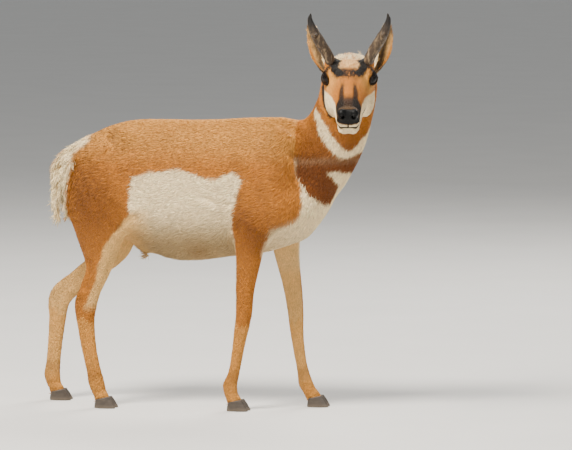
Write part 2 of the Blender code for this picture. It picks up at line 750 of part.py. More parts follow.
def ear(side, frame):
    """A leaf-shaped cup with a thin wall, open along its front."""
    rows = []
    base = EAR[0][0]
    for x, y, z, half, reach in EAR:
        lean = EAR_LEAN[side] * ((base - x) / (base - EAR[-1][0])) ** 4
        rows.append((*(frame @ mirrored((x, y + lean, z), side)), half, reach))
    rows = smooth_rows(rows, 0.016)
    ways = np.gradient(rows[:, :3], axis=0)
    opening = frame.to_3x3() @ mirrored(EAR_OPENING, side)
    rings = []
    for row, way in zip(rows, ways):
        way = Vector(way).normalized()
        ahead = (opening - way * opening.dot(way)).normalized()
        across = way.cross(ahead)
        half = max(row[3], 0.0024)
        reach = math.radians(row[4])
        radius = half / math.sin(min(reach, math.pi / 2))
        thick = min(EAR_THICK, half * 0.6)
        outer, inner = [], []
        for k in range(EAR_STEPS):
            angle = reach * (2 * k / (EAR_STEPS - 1) - 1)
            thin = thick * (1 - 0.45 * abs(2 * k / (EAR_STEPS - 1) - 1))
            ray = across * math.sin(angle) - ahead * (math.cos(angle) - 0.35) * 0.9
            centre = Vector(row[:3])
            outer.append(centre + ray * radius)
            inward = across * math.sin(angle) - ahead * math.cos(angle)
            inner.append(centre + ray * radius - inward * thin)
        rings.append(outer + inner[::-1])
    return cup_loft(f"ear_{side}", rings)


def cup_loft(name, rings):
    """One closed body through rings that go out along a curve and back along its other side."""
    sides = len(rings[0])
    verts = [point for one in rings for point in one]
    faces = []
    for i in range(len(rings) - 1):
        for k in range(sides):
            a, b = i * sides + k, i * sides + (k + 1) % sides
            faces.append((a, b, b + sides, a + sides))
    for first in (0, (len(rings) - 1) * sides):
        for k in range(sides // 2 - 1):
            a, b = first + k, first + sides - 1 - k
            faces.append((a, a + 1, b - 1, b))
    made = mesh_object(name, verts, faces)
    face_outwards(made)
    return made


def toe(name, centre, heading, side):
    """Half of a cloven hoof on a flat sole, with a slanting top for the foot to rest on."""
    turn = Matrix.Rotation(math.radians(heading + side * TOE_SPLAY), 4, "Z")
    place = Matrix.Translation((centre[0], centre[1], 0)) @ turn
    rings = []
    for level in TOE_LEVELS:
        points = []
        for k in range(TOE_STEPS):
            angle = 2 * math.pi * k / TOE_STEPS
            c, s = math.cos(angle), math.sin(angle)
            reach = (HOOF_TOE if c > 0 else HOOF_HEEL) * level["long"] * abs(c) ** 0.85
            x = math.copysign(reach, c) + level["back"]
            outward = s * side > 0
            half = (TOE_OUT if outward else TOE_IN) * level["wide"]
            taper = 1 - 0.45 * max(0, x / HOOF_TOE) ** 2
            y = side * TOE_SPREAD + math.copysign(abs(s) ** 0.8, s) * half * taper
            z = level["high"] * (HOOF_TOP + HOOF_SLANT * x)
            points.append(place @ Vector((x, y, z)))
        rings.append(points)
    return loft(name, rings)


def hooves():
    """Makes the eight toes, and gives back the plugs that take the flesh away from inside them."""
    plugs = []
    for leg, places in (("fore", FORE_PLACES), ("hind", HIND_PLACES)):
        for side in ("left", "right"):
            x, y, _ = places[side]["sole"]
            heading = HOOF_HEADING if side == "left" else -HOOF_HEADING
            for half, name in ((1, "l"), (-1, "r")):
                inner = (name == "l") == (side == "right")
                label = f"hoof_{leg}_{side}_{'inner' if inner else 'outer'}"
                toe(label, (x, y), heading, half)
            slant = Matrix.Rotation(-math.atan(HOOF_SLANT), 4, "Y")
            turn = Matrix.Rotation(math.radians(heading), 4, "Z")
            top = Matrix.Translation((x, y, HOOF_TOP + GAP)) @ turn @ slant
            plugs.append(box("foot_plug", top @ Matrix.Translation((0, 0, -0.03)), (0.06, 0.05, 0.03)))
    return plugs


def lock(root, way, normal, length, width, bend):
    """A flat tapered lock of hair that bends as it goes out, on a foot sunk in the flesh."""
    way = Vector(way).normalized()
    across = way.cross(Vector(normal)).normalized()
    rise = across.cross(way)
    rings = []
    for t, wide in LOCK_RINGS:
        centre = root + way * (length * t) + rise * (bend * length * t * t)
        side = across * (width / 2 * wide)
        thick = rise * (width * LOCK_FLAT * wide)
        rings.append([centre + side, centre + thick, centre - side, centre - thick])
    return loft("lock", rings)


def locks_on(tree, spots, rng):
    """Locks rooted where rays from outside meet the flesh. Each spot is a start, a ray, a lie, sizes, lift and bend."""
    made = []
    for start, ray, lie, length, width, lift, bend in spots:
        place, normal, _, _ = tree.ray_cast(Vector(start), Vector(ray).normalized())
        if place is None:
            continue
        lie = Vector(lie)
        lie = (lie - normal * lie.dot(normal)).normalized()
        across = lie.cross(normal)
        lie = (lie + across * rng.uniform(-0.2, 0.2) + normal * lift).normalized()
        length *= rng.uniform(0.85, 1.15)
        made.append(lock(place - normal * LOCK_SINK, lie, normal, length, width, -bend))
    return made


def rump_spots():
    """Over the pale patch on each buttock, in rows that hang over one another, clear of the tail."""
    for row in range(RUMP_ROWS):
        for side in (1, -1):
            for k in range(3 if row < RUMP_ROWS - 2 else 2):
                y = side * (0.034 + 0.022 * k + 0.010 * (row % 2))
                start = (-0.60, y, RUMP_TOP - RUMP_STEP * row)
                lie = (-0.30, (0.10 + 0.12 * k) * side, -0.9)
                yield start, (1, 0, 0), lie, 0.064, 0.031, 0.26, 0.12


def tail_spots():
    """Down the outer face and both edges of the tail, the lowest ones longest."""
    for row in range(TAIL_ROWS):
        high = TAIL_TOP - 0.023 * row
        length = 0.046 + 0.007 * row
        near = 0.016 if row < TAIL_ROWS - 2 else 0.009
        for y in (-near, 0.0, near):
            lie = (-0.10, y * 10, -1.0)
            yield (-0.60, y, high - 0.006 * (y == 0)), (1, 0, 0), lie, length, 0.026, 0.14, max(0.06, 0.50 - 0.15 * row)


def crown_spots(frame):
    """Tufts on the top of the head between the horns and the ears."""
    for x, y, length in CROWN:
        start = frame @ Vector((x, y, 0.2))
        lie = frame.to_3x3() @ Vector((-0.55, y * 12, 0.3))
        yield start, -(frame.to_3x3() @ UP), lie, length, 0.018, 0.7, 0.3


def sheath_spots():
    for x, y in ((-0.168, 0.0), (-0.158, 0.007), (-0.158, -0.007)):
        yield (x, y, 0.30), (0, 0, 1), (-0.3, 0, -1), 0.024, 0.011, 0.9, 0.3


def grow_locks(node, spots, clear_of, rng):
    """Joins locks to a node, first cut back from its neighbours. The node keeps its largest closed surface."""
    tree = BVHTree.FromObject(node, bpy.context.evaluated_depsgraph_get())
    locks = locks_on(tree, spots, rng)
    name = node.name
    for one in locks:
        for other in clear_of:
            boolean(one, [grown(other, GAP)], "DIFFERENCE")
    boolean(node, [one for one in locks if one.data.polygons], "UNION")
    return keep_largest(node, name)


def loose_parts(obj):
    """The closed surfaces of the object as objects of their own, the largest first."""
    work = bmesh.new()
    work.from_mesh(obj.data)
    work.verts.ensure_lookup_table()
    seen = [False] * len(work.verts)
    parts = []
    for start in work.verts:
        if seen[start.index]:
            continue
        stack, found = [start], []
        seen[start.index] = True
        while stack:
            vert = stack.pop()
            found.append(vert.index)
            for edge in vert.link_edges:
                other = edge.other_vert(vert)
                if not seen[other.index]:
                    seen[other.index] = True
                    stack.append(other)
        parts.append(set(found))
    work.free()
    made = []
    for found in sorted(parts, key=len, reverse=True):
        piece = bmesh.new()
        piece.from_mesh(obj.data)
        piece.verts.ensure_lookup_table()
        gone = [vert for vert in piece.verts if vert.index not in found]
        bmesh.ops.delete(piece, geom=gone, context="VERTS")
        volume = piece.calc_volume(signed=True)
        mesh = bpy.data.meshes.new("part")
        piece.to_mesh(mesh)
        piece.free()
        one = bpy.data.objects.new("part", mesh)
        bpy.context.scene.collection.objects.link(one)
        made.append((volume, one))
    bpy.data.objects.remove(obj)
    return made


def keep_largest(obj, name):
    parts = loose_parts(obj)
    parts.sort(key=lambda one: one[0], reverse=True)
    for _, other in parts[1:]:
        bpy.data.objects.remove(other)
    kept = parts[0][1]
    kept.name = name
    return kept


def middle_of(obj):
    return Vector(points_of(obj).mean(axis=0))


def name_parts(parts):
    """Each large part takes the name of the nearest anchor. Slivers are removed."""
    named = {}
    for volume, part in sorted(parts, key=lambda one: one[0], reverse=True):
        middle = middle_of(part)
        name = min(ANCHORS, key=lambda key: (Vector(ANCHORS[key]) - middle).length)
        if name in named or volume < 1e-5:
            bpy.data.objects.remove(part)
            continue
        part.name = name
        named[name] = part
    return named


def main():
    clear_scene()
    frame = head_matrix()
    skin = melted_skin()
    covers = [grown(skin, GAP) for _ in range(5)]
    growths = [horn(side, frame) for side in ("left", "right")]
    growths += [ear(side, frame) for side in ("left", "right")]
    growths.append(tube("tail", TAIL, step=0.020, sides=12))
    for growth, cover in zip(growths, covers):
        name = growth.name
        boolean(growth, [cover], "DIFFERENCE")
        keep_largest(growth, name)
    tree = BVHTree.FromObject(skin, bpy.context.evaluated_depsgraph_get())
    mouth = mouth_line(tree, frame)
    lids = [ball("lid", centre, EYE_RADIUS + LID_THICK) for _, centre, _ in eye_places()]
    boolean(skin, lids, "UNION")
    cuts = [mouth]
    for side, centre, _ in eye_places():
        cuts.append(lid_opening(side, frame))
        cuts.append(nostril(side, frame))
        cuts.append(ball("socket", centre, EYE_RADIUS + GAP))
        ball(f"eye_{side}", centre, EYE_RADIUS)
    for cut in cuts + parting_planes() + hooves():
        boolean(skin, [cut], "DIFFERENCE")
    for side in ("left", "right"):
        take_out(skin, f"foreleg_upper_{side}", FORE_SLEEVE[side])
        take_out(skin, f"hindleg_upper_{side}", HIND_SLEEVE[side])
    parts = name_parts(loose_parts(skin))
    rng = random.Random(7)
    objects = bpy.data.objects
    grow_locks(parts["head"], crown_spots(frame), [], rng)
    torso = grow_locks(parts["torso"], [*rump_spots(), *sheath_spots()], [objects["tail"]], rng)
    grow_locks(objects["tail"], tail_spots(), [torso], rng)
    finish()


def finish():
    """Puts the middle of the whole over the origin and gives each node its material."""
    nodes = [obj for obj in bpy.context.scene.objects if obj.type == "MESH"]
    clouds = [points_of(obj) for obj in nodes]
    everything = np.concatenate(clouds)
    low, high = everything.min(axis=0), everything.max(axis=0)
    move = np.array(((low[0] + high[0]) / 2, (low[1] + high[1]) / 2, 0), np.float32)
    for obj, points in zip(nodes, clouds):
        obj.data.vertices.foreach_set("co", (points - move).ravel())
        obj.data.update()
        obj.data.materials.clear()
        obj.data.materials.append(material_for(obj.name))


def material_for(name):
    kind = name.split("_")[0]
    known = bpy.data.materials.get(kind)
    if known:
        return known
    colour, roughness = LOOKS.get(kind, LOOKS["coat"])
    return material(kind, colour, roughness)


main()
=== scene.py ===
"""A young pronghorn buck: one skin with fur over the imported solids, and its eyes, horns and hooves.

Metres. +X is the way the body faces, +Y its left and +Z up. Most places below are in the frame
that part.py models in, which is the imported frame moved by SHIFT, or in the frame of the head:
x from the poll to the nose, y to the animal's left and z out of the forehead.
"""
import itertools
import math
from functools import partial

import bmesh
import bpy
import numpy as np
from mathutils import Matrix, Vector
from mathutils.bvhtree import BVHTree


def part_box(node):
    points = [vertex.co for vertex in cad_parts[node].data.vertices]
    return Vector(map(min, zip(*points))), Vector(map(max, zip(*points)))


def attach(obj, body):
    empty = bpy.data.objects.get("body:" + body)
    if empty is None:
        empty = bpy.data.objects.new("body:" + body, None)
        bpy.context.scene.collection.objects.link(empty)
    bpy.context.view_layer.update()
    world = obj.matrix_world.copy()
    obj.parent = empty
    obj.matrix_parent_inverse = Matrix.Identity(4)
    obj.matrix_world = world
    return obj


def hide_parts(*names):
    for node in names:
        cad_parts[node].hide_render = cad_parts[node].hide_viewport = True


SEED = 11

# The head's place and the eye, as in part.py
POLL = np.array((0.451, -0.038, 1.033))
HEAD_TURN = math.radians(-80)
HEAD_PITCH = math.radians(32)
EYE_RADIUS = 0.0212
EYE_CENTRE = np.array((0.0900, 0.0575, -0.0140))
EYE_LOOK = np.array((0.52, 0.82, 0.22))
EYE_TILT = math.radians(14)
LID_LENGTH = 0.0385
LID_UP = 0.0140
LID_DOWN = 0.0125
LID_LIP = 0.0016
LID_CREASE = 0.0085
LID_SCALE = 0.0145
LID_ZONE = 0.045
EAR_OPENING = np.array((0.80, 0.42, 0.42))
EAR_ROOT = np.array((0.014, 0.0600, -0.050))
EAR_TIP = np.array((-0.126, 0.1080, 0.034))
NOSTRIL = np.array((0.2900, 0.0170, -0.005))
NOSE_BACK = 0.2795
NOSE_FOOT = -0.0285
MOUTH_LEVEL = -0.046
MOUTH_DROP = 0.006
MOUTH_CENTRE = 0.238
MOUTH_HALF = 0.022
MOUTH_TURN = 118
CHIN_DROP = 0.0105

# Centre of the neck at each level, and how far its front is turned towards the head
NECK_PATH = np.array((
    (0.300, 0.000, 0.690, 0), (0.350, 0.000, 0.745, 0), (0.387, 0.000, 0.785, -8),
    (0.412, -0.002, 0.832, -20), (0.429, -0.005, 0.880, -38), (0.441, -0.007, 0.928, -55),
    (0.446, -0.011, 0.972, -68), (0.447, -0.018, 1.004, -75),
))

# Skin
VOXEL = 0.0021
SOLID_SWELL = 0.0004
SKIN_FACES = 150000
UNDERCOAT = 0.93

# The head keeps all its triangles, with finer ones at the eyes and the nose
HEAD_MIDDLE = (0.145, 0.0, -0.030)
HEAD_REACH = (0.190, 0.085, 0.090)
FINE_EYE = 0.034
FINE_NOSE = 0.046
NOSE_MIDDLE = (0.275, 0, -0.030)

# Kinds of flesh nodes
TRUNK = ("torso", "neck", "foreleg_upper", "hindleg_upper")
LEGS = ("foreleg_upper", "hindleg_upper", "foreleg_lower", "hindleg_lower")

# Colours, linear
TAN = (0.450, 0.158, 0.016)
PALE_TAN = (0.700, 0.340, 0.070)
DEEP_TAN = (0.180, 0.055, 0.005)
BROWN = (0.155, 0.041, 0.002)
RUFOUS = (0.540, 0.185, 0.018)
CREAM = (0.720, 0.440, 0.150)
BRIGHT_CREAM = (0.860, 0.600, 0.280)
WHITE = (0.920, 0.735, 0.440)
GREY_BROWN = (0.120, 0.070, 0.035)
STAIN = (0.330, 0.180, 0.060)
SMUDGE = (0.230, 0.150, 0.080)
SHEATH = (0.080, 0.040, 0.014)
MUZZLE = (0.075, 0.034, 0.014)
# Dark skin of the ear with painted shade inside its cup
EAR_SKIN_AND_SHADE = (0.045, 0.026, 0.013)
# Painted shade for the bottom of the flank and belly
BELLY_SHADE = (0.290, 0.170, 0.050)
DARK = (0.005, 0.003, 0.0015)
BLACK = (0.002, 0.002, 0.002)
EYEBALL = (0.004, 0.002, 0.0015)
IRIS = (0.008, 0.004, 0.002)
PUPIL = (0.003, 0.003, 0.004)
HORN_BROWN = (0.055, 0.036, 0.022)
HORN_PALE = (0.340, 0.235, 0.130)
HORN_TIP = (0.012, 0.010, 0.009)
# Painted shade for the pits between the horn's knobs
HORN_PIT_SHADE = (0.035, 0.024, 0.016)
HOOF = (0.050, 0.038, 0.028)
HOOF_WORN = (0.150, 0.115, 0.080)
FLOOR_DARK = (0.66, 0.65, 0.62, 1)
FLOOR_PALE = (0.72, 0.71, 0.68, 1)
WARM_LIGHT = (1.0, 0.94, 0.86)
SOFT_LIGHT = (1.0, 0.97, 0.93)
SKY = (0.86, 0.88, 0.90, 1)

# The camera, at the photo's angle
AIM = (0.255, 0.0, 0.5373)
AZIMUTH = math.radians(12)
ELEVATION = math.radians(5)
DISTANCE = 14.0
VIEW_WIDTH = 1.6588
SENSOR = 36.0


# Frames

def head_axes():
    """Columns are the head's own axes."""
    turn = Matrix.Rotation(HEAD_TURN, 3, "Z") @ Matrix.Rotation(HEAD_PITCH, 3, "Y")
    return np.array(turn)


def packed_shift(axes):
    """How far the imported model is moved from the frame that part.py models in."""
    middles = []
    for side in ("left", "right"):
        low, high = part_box(f"eye_{side}")
        middles.append((np.array(low) + np.array(high)) / 2)
    between = axes @ (EYE_CENTRE * (1, 0, 1))
    return POLL + between - sum(middles) / 2


def to_head(points):
    """Modelling places in the head's frame."""
    return (points - POLL) @ AXES


def to_packed(points):
    """Places in the head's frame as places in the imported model."""
    return np.asarray(points) @ AXES.T + POLL - SHIFT


def unit(vectors):
    return vectors / np.maximum(np.linalg.norm(vectors, axis=-1, keepdims=True), 1e-9)


# Fields over the skin

def ramp(value, width=0.010):
    """0 below zero and 1 above it, with a soft edge of a given width."""
    t = np.clip(value / width + 0.5, 0, 1)
    return t * t * (3 - 2 * t)


def bump(distance, width):
    return np.exp(-(distance / width) ** 2)


def noise(points, size, seed):
    """A smooth random field between -1 and 1, whose blotches have a given size."""
    spots = points / size
    cell = np.floor(spots)
    part = spots - cell
    part = part * part * (3 - 2 * part)
    total = np.zeros(len(points))
    for corner in itertools.product((0, 1), repeat=3):
        at = cell + corner
        wave = np.sin(at @ (12.9898, 78.233, 37.719) + seed * 4.1414) * 43758.5453
        weight = np.prod(np.where(corner, part, 1 - part), axis=1)
        total += weight * (2 * (wave - np.floor(wave)) - 1)
    return total


def near_path(points, path):
    """Distance from points to a line of straight pieces."""
    path = np.asarray(path, float)
    best = np.full(len(points), np.inf)
    for a, b in zip(path[:-1], path[1:]):
        along = b - a
        share = np.clip((points - a) @ along / (along @ along), 0, 1)
        best = np.minimum(best, np.linalg.norm(points - a - share[:, None] * along, axis=1))
    return best


def folded(points, side=1):
    """The points with those of one side mirrored to the other."""
    return np.stack((points[:, 0], side * np.abs(points[:, 1]), points[:, 2]), axis=1)


def outward(side, back, out, up):
    """One way for every point, turned out to its own side."""
    return np.stack((np.full(len(side), back), side * out, np.full(len(side), up)), axis=1)


def paint(colours, tone, mask):
    """Lays a tone over the colours, in place, where the mask is."""
    mask = np.clip(mask, 0, 1)[:, None]
    colours *= 1 - mask
    colours += np.asarray(tone) * mask


def eye_axes():
    """The eye's look, the way along its opening and the way up across it."""
    look = EYE_LOOK / np.linalg.norm(EYE_LOOK)
    along = unit(np.array((1.0, 0, 0)) - look * look[0])
    along = np.array(Matrix.Rotation(EYE_TILT, 3, look) @ Vector(along))
    return look, along, np.cross(along, look)


def almond(points, side):
    """Distance outside the lids' opening at one eye, and the place by the look, up and along it."""
    look, along, rise = eye_axes()
    place = points * (1, side, 1) - EYE_CENTRE
    a, b, deep = place @ along, place @ rise, place @ look
    half = np.where(b > 0, LID_UP, LID_DOWN)
    level = (a / (LID_LENGTH / 2)) ** 2 + (np.abs(b) / half) ** 1.6
    return (np.sqrt(level) - 1) * LID_SCALE, deep, b, a


# Markings

THROAT_BAND = np.array((
    (-126, 0.880, 0.890), (-120, 0.860, 0.886), (-103, 0.823, 0.866), (-88, 0.796, 0.840),
    (-68, 0.774, 0.808), (-49, 0.756, 0.783), (-35, 0.745, 0.768), (-27, 0.743, 0.764),
    (-20, 0.749, 0.777), (-10, 0.758, 0.805), (20, 0.790, 0.842), (50, 0.845, 0.880), (62, 0.884, 0.888),
))
CHEST_EDGE = np.array((
    (0.460, 0.200), (0.500, 0.216), (0.528, 0.243), (0.542, 0.267), (0.555, 0.286), (0.569, 0.305),
    (0.586, 0.318), (0.617, 0.323), (0.653, 0.317), (0.686, 0.307), (0.729, 0.301), (0.745, 0.297),
    (0.800, 0.318), (0.857, 0.346),
))
BROWN_LOW = np.array(((10, 0.612), (31, 0.617), (48, 0.627), (60, 0.636), (71, 0.660), (80, 0.689)))
TRIANGLE = np.array(((0.620, 11), (0.642, 10), (0.658, 12), (0.677, 17), (0.697, 26), (0.708, 30)))
NECK_FRONT = np.array(((0.660, 0), (0.700, -10), (0.750, -20), (0.800, -30), (0.900, -45)))
FLANK_TOP = np.array((
    (-0.200, 0.660), (-0.165, 0.682), (-0.141, 0.690), (-0.112, 0.699), (-0.066, 0.701), (-0.026, 0.706),
    (0.008, 0.697), (0.031, 0.687), (0.059, 0.681), (0.087, 0.681), (0.109, 0.689), (0.133, 0.702),
    (0.160, 0.686),
))
FLANK_FRONT = np.array((
    (0.500, 0.124), (0.521, 0.121), (0.540, 0.116), (0.568, 0.121), (0.607, 0.134), (0.646, 0.146),
    (0.679, 0.153), (0.710, 0.140),
))
FLANK_REAR = np.array((
    (0.530, -0.200), (0.568, -0.180), (0.591, -0.182), (0.618, -0.179), (0.652, -0.172), (0.700, -0.160),
))
THIGH_EDGE = np.array((
    (0.300, -0.325), (0.320, -0.310), (0.357, -0.297), (0.392, -0.281), (0.426, -0.272), (0.467, -0.265),
    (0.491, -0.250), (0.518, -0.228), (0.544, -0.208), (0.568, -0.184), (0.600, -0.170),
))
RUMP_EDGE = np.array(((0.590, -0.384), (0.611, -0.380), (0.656, -0.371), (0.697, -0.361), (0.730, -0.350),
                      (0.761, -0.339), (0.790, -0.321), (0.830, -0.309)))
CHEEK_EDGE = np.array((
    (0.050, -0.088), (0.060, -0.076), (0.100, -0.058), (0.150, -0.036), (0.180, -0.022), (0.213, -0.019),
    (0.245, -0.026), (0.265, -0.032), (0.300, -0.032),
))
BROW_PATH = ((0.052, 0.034, 0.0), (0.078, 0.041, 0.0), (0.098, 0.038, 0.0), (0.122, 0.024, 0.0))
LID_PATH = ((0.088, 0.052, 0.0), (0.092, 0.066, 0.0))
JAW_EDGE = np.array((
    (0.050, -0.077), (0.072, -0.092), (0.086, -0.105), (0.111, -0.121), (0.135, -0.146), (0.150, -0.200),
))
JAW_LINE = ((0.052, 0.079, -0.074), (0.058, 0.078, -0.078), (0.074, 0.076, -0.089), (0.088, 0.074, -0.102),
            (0.113, 0.063, -0.117), (0.120, 0.058, -0.124))


def table(rows, key, column=1):
    """Reads a column of a table at the keys, with straight lines between its rows."""
    return np.interp(key, rows[:, 0], rows[:, column])


def neck_turn(m):
    """Angle round the neck, from its throat."""
    centre_x, centre_y, twist = (np.interp(m[:, 2], NECK_PATH[:, 2], NECK_PATH[:, k]) for k in (0, 1, 3))
    angle = np.degrees(np.arctan2(m[:, 1] - centre_y, m[:, 0] - centre_x)) - twist
    return (angle + 180) % 360 - 180


def body_marks(colours, m, normals, kinds):
    """The tan coat with its white flank, belly, chest, thighs and rump, and the bands of the throat."""
    lay = partial(paint, colours)
    x, y, z = m.T
    side = np.abs(y)
    trunk = np.isin(kinds, (*TRUNK, "tail"))
    torso = kinds == "torso"
    tail = kinds == "tail"
    inner = -normals[:, 1] * np.sign(y)

    # Painted highlight: the back of the trunk paler towards the top, where the light falls from above.
    lay(PALE_TAN, 0.60 * ramp(z - 0.745, 0.10) * (x < 0.30))
    # Painted shade: darker tan over the haunch and by the elbow.
    lay(DEEP_TAN, 0.80 * bump(x + 0.290, 0.100) * bump(z - 0.600, 0.120))
    lay(DEEP_TAN, 0.85 * bump(x - 0.185, 0.070) * bump(z - 0.525, 0.080))
    lay(DEEP_TAN, 0.25 * noise(m, 0.07, 31).clip(0, 1))

    below = ramp(table(FLANK_TOP, x) - z, 0.012)
    between = ramp(table(FLANK_FRONT, z) - x, 0.010) * ramp(x - table(FLANK_REAR, z), 0.012)
    flank = below * between * trunk
    lay(WHITE, flank)
    under = torso * ramp(-0.45 - normals[:, 2], 0.40) * ramp(0.60 - z, 0.05) * ramp(x + 0.27, 0.03)
    lay(WHITE, under)
    # Painted shade: the white flank and belly darker towards the bottom.
    low = np.maximum(below * between * trunk, under) * ramp(0.545 - z, 0.130)
    lay(BELLY_SHADE, 0.80 * low)
    lay(STAIN, 0.55 * bump(x - 0.02, 0.035) * bump(z - 0.462, 0.02) * torso)
    smudge = bump(np.hypot(x - 0.085, (z - 0.650) * 1.2), 0.011)
    smudge += bump(np.hypot(x - 0.093, z - 0.592), 0.012)
    lay(SMUDGE, 0.45 * smudge * trunk)
    sheath = bump(x + 0.135, 0.026) * bump(z - 0.482, 0.016) * bump(side, 0.05) * trunk
    lay(SHEATH, 0.85 * sheath)

    turn = neck_turn(m)
    off = np.abs(turn - table(NECK_FRONT, z))
    edge = table(CHEST_EDGE, z)
    ahead = ramp(x - edge, 0.012) * np.isin(kinds, ("torso", "neck", "foreleg_upper"))
    chest = ahead * ramp(0.745 - z, 0.02) * ramp(z - 0.40, 0.05)
    lay(WHITE, chest * (1 - 0.25 * ramp(0.55 - z, 0.06)))
    patch = np.isin(kinds, ("torso", "neck")) * ramp(z - table(BROWN_LOW, off), 0.010)
    depth = np.interp(z, (0.60, 0.72, 0.80, 0.88, 0.93), (1, 1, 0.55, 0.15, 0.0))
    reach = ramp(132 - off, 40) * ramp(x - edge, np.interp(z, (0.70, 0.80), (0.010, 0.060)))
    lay(BROWN, patch * depth * reach)
    triangle = ramp(table(TRIANGLE, z) - off, 5) * ramp(0.705 - z, 0.010) * ahead
    lay(WHITE, triangle * ramp(z - 0.40, 0.02))
    throat = (kinds == "neck") * ramp(z - table(THROAT_BAND, turn), 0.008)
    throat = throat * ramp(table(THROAT_BAND, turn, 2) - z, 0.008) * ramp(turn + 124, 6) * ramp(62 - turn, 6)
    lay(WHITE, throat)

    thigh = np.isin(kinds, ("hindleg_upper", "torso")) * ramp(x - table(THIGH_EDGE, z), 0.010)
    thigh = thigh * ramp(z - 0.300, 0.04) * ramp(0.585 - z, 0.03) * ramp(-0.14 - x, 0.09)
    lay(CREAM, 0.95 * thigh)
    inside = np.isin(kinds, LEGS) * ramp(inner - 0.25, 0.40) * ramp(z - 0.08, 0.06)
    lay(CREAM, 0.85 * inside)
    shin = np.isin(kinds, ("foreleg_lower", "hindleg_lower"))
    lay(PALE_TAN, 0.55 * shin * ramp(0.34 - z, 0.08))
    lay(DEEP_TAN, 0.40 * shin * bump(z - 0.105, 0.022))

    rump = ramp(table(RUMP_EDGE, z) - x, 0.012) * ramp(z - 0.565, 0.02) * trunk
    behind = ramp(-0.31 - x, 0.02) * ramp(0.075 - side, 0.03) * ramp(z - 0.50, 0.04) * trunk
    lay(WHITE, np.maximum(rump, behind * ramp(-normals[:, 0] - 0.1, 0.3)))
    lay(WHITE, tail)
    lay(TAN, 0.75 * tail * bump(side, 0.012) * ramp(z - 0.690, 0.03))


def head_marks(colours, h, kinds):
    """The white cheeks, dark muzzle and stripes, dark brow, pale forehead and black jaw line."""
    lay = partial(paint, colours)
    x, y, z = h.T
    side = np.abs(y)
    head = kinds == "head"
    upper = np.isin(kinds, ("head", "neck")) * (x > -0.06)
    speck = noise(h, 0.0035, 5)
    lay(RUFOUS, head * 0.9)
    lay(PALE_TAN, head * 0.80 * bump(x - 0.128, 0.040) * bump(side - 0.048, 0.022))
    throat = table(CHEEK_EDGE, x)
    cheek = head * ramp(throat - z, 0.008) * ramp(x - 0.056, 0.010) * ramp(z - table(JAW_EDGE, x), 0.005)
    lay(WHITE, cheek)

    top = head * ramp(z - throat - 0.012, 0.012)
    forehead = top * ramp(x - 0.030, 0.012) * ramp(0.100 - x, 0.016) * ramp(0.032 - side, 0.010)
    lay(BRIGHT_CREAM, forehead)
    lay(PALE_TAN, forehead * 0.45)
    lay(RUFOUS, forehead * 0.70 * ramp(speck - 0.15, 0.5))
    crown = head * ramp(z + 0.030, 0.02) * ramp(0.040 - x, 0.010)
    crown = crown * ramp(x + 0.02, 0.02) * ramp(0.052 - side, 0.01)
    lay(WHITE, crown)
    lay(RUFOUS, 0.6 * crown * ramp(noise(h, 0.009, 14) - 0.30, 0.3))
    flat = np.stack((x, side, np.zeros(len(x))), axis=1)
    base = head * ramp(z + 0.012, 0.010) * ramp(0.0125 - near_path(flat, BROW_PATH) + 0.004 * speck, 0.007)
    band = top * bump(x - 0.130 + 0.45 * side, 0.017) * ramp(0.040 - side, 0.012) * ramp(speck + 0.45, 0.9)
    lay(DARK, np.maximum(base, np.clip(1.7 * band, 0, 0.95)))
    brow = head * ramp(0.008 - near_path(flat, LID_PATH) + 0.003 * speck, 0.006) * ramp(z + 0.016, 0.010)
    lay(DARK, 0.92 * brow)

    centre = ramp(0.0120 - side, 0.006)
    lay(RUFOUS, top * centre * ramp(x - 0.156, 0.02))
    half = 0.0265 - 0.006 * ramp(0.190 - x, 0.04) + 0.03 * ramp(x - 0.235, 0.03)
    muzzle = head * ramp(x - 0.226, 0.030) * ramp(z - throat, 0.006)
    lay(MUZZLE, muzzle)
    stripe = head * ramp(z - throat, 0.005) * ramp(x - 0.172, 0.030) * ramp(half - side, 0.006)
    stripe = stripe * (1 - centre * ramp(0.290 - x, 0.02) * (0.35 + 0.65 * ramp(0.245 - x, 0.02)))
    lay(DARK, stripe * (0.90 + 0.10 * speck))
    flecks = top * ramp(x - 0.140, 0.02) * bump(side - 0.018, 0.007) * ramp(speck, 0.8)
    lay(DARK, 0.35 * flecks)
    rim = head * bump(x - 0.274, 0.006) * ramp(z + 0.020, 0.01)
    lay(GREY_BROWN, 0.80 * rim)
    nose = head * ramp(x - NOSE_BACK, 0.005) * ramp(z - NOSE_FOOT, 0.004)
    lay(BLACK, nose)
    nostril = np.linalg.norm(folded(h) - NOSTRIL, axis=1)
    lay(BLACK, head * ramp(x - 0.262, 0.01) * bump(nostril, 0.009))
    gape = 0.0024 + 0.0024 * ramp(x - 0.270, 0.02)
    lip = head * ramp(gape - np.abs(z - mouth_level(y) - 0.0008), 0.0018) * ramp(x - 0.195, 0.02)
    lay(DARK, 0.97 * lip)
    cleft = head * (x > 0.27) * ramp(0.0020 - side, 0.0012) * ramp(-0.024 - z, 0.004) * (z > MOUTH_LEVEL)
    lay(BLACK, cleft)
    jaw = near_path(folded(h), JAW_LINE)
    lay(DARK, 0.97 * upper * ramp(0.0108 - jaw, 0.006))

    for sign in (1, -1):
        outside, deep, rise, along = almond(h, sign)
        close = head * (deep > 0.002)
        ring = close * bump(outside - 0.0090, 0.0050) * ramp(0.004 - rise, 0.008)
        lay(CREAM, 0.60 * ring)
        lay(DARK, 0.97 * close * ramp(0.0050 - outside, 0.0030))
        lay(DARK, 0.80 * close * bump(rise + 0.004, 0.003) * bump(along - 0.0245, 0.006))


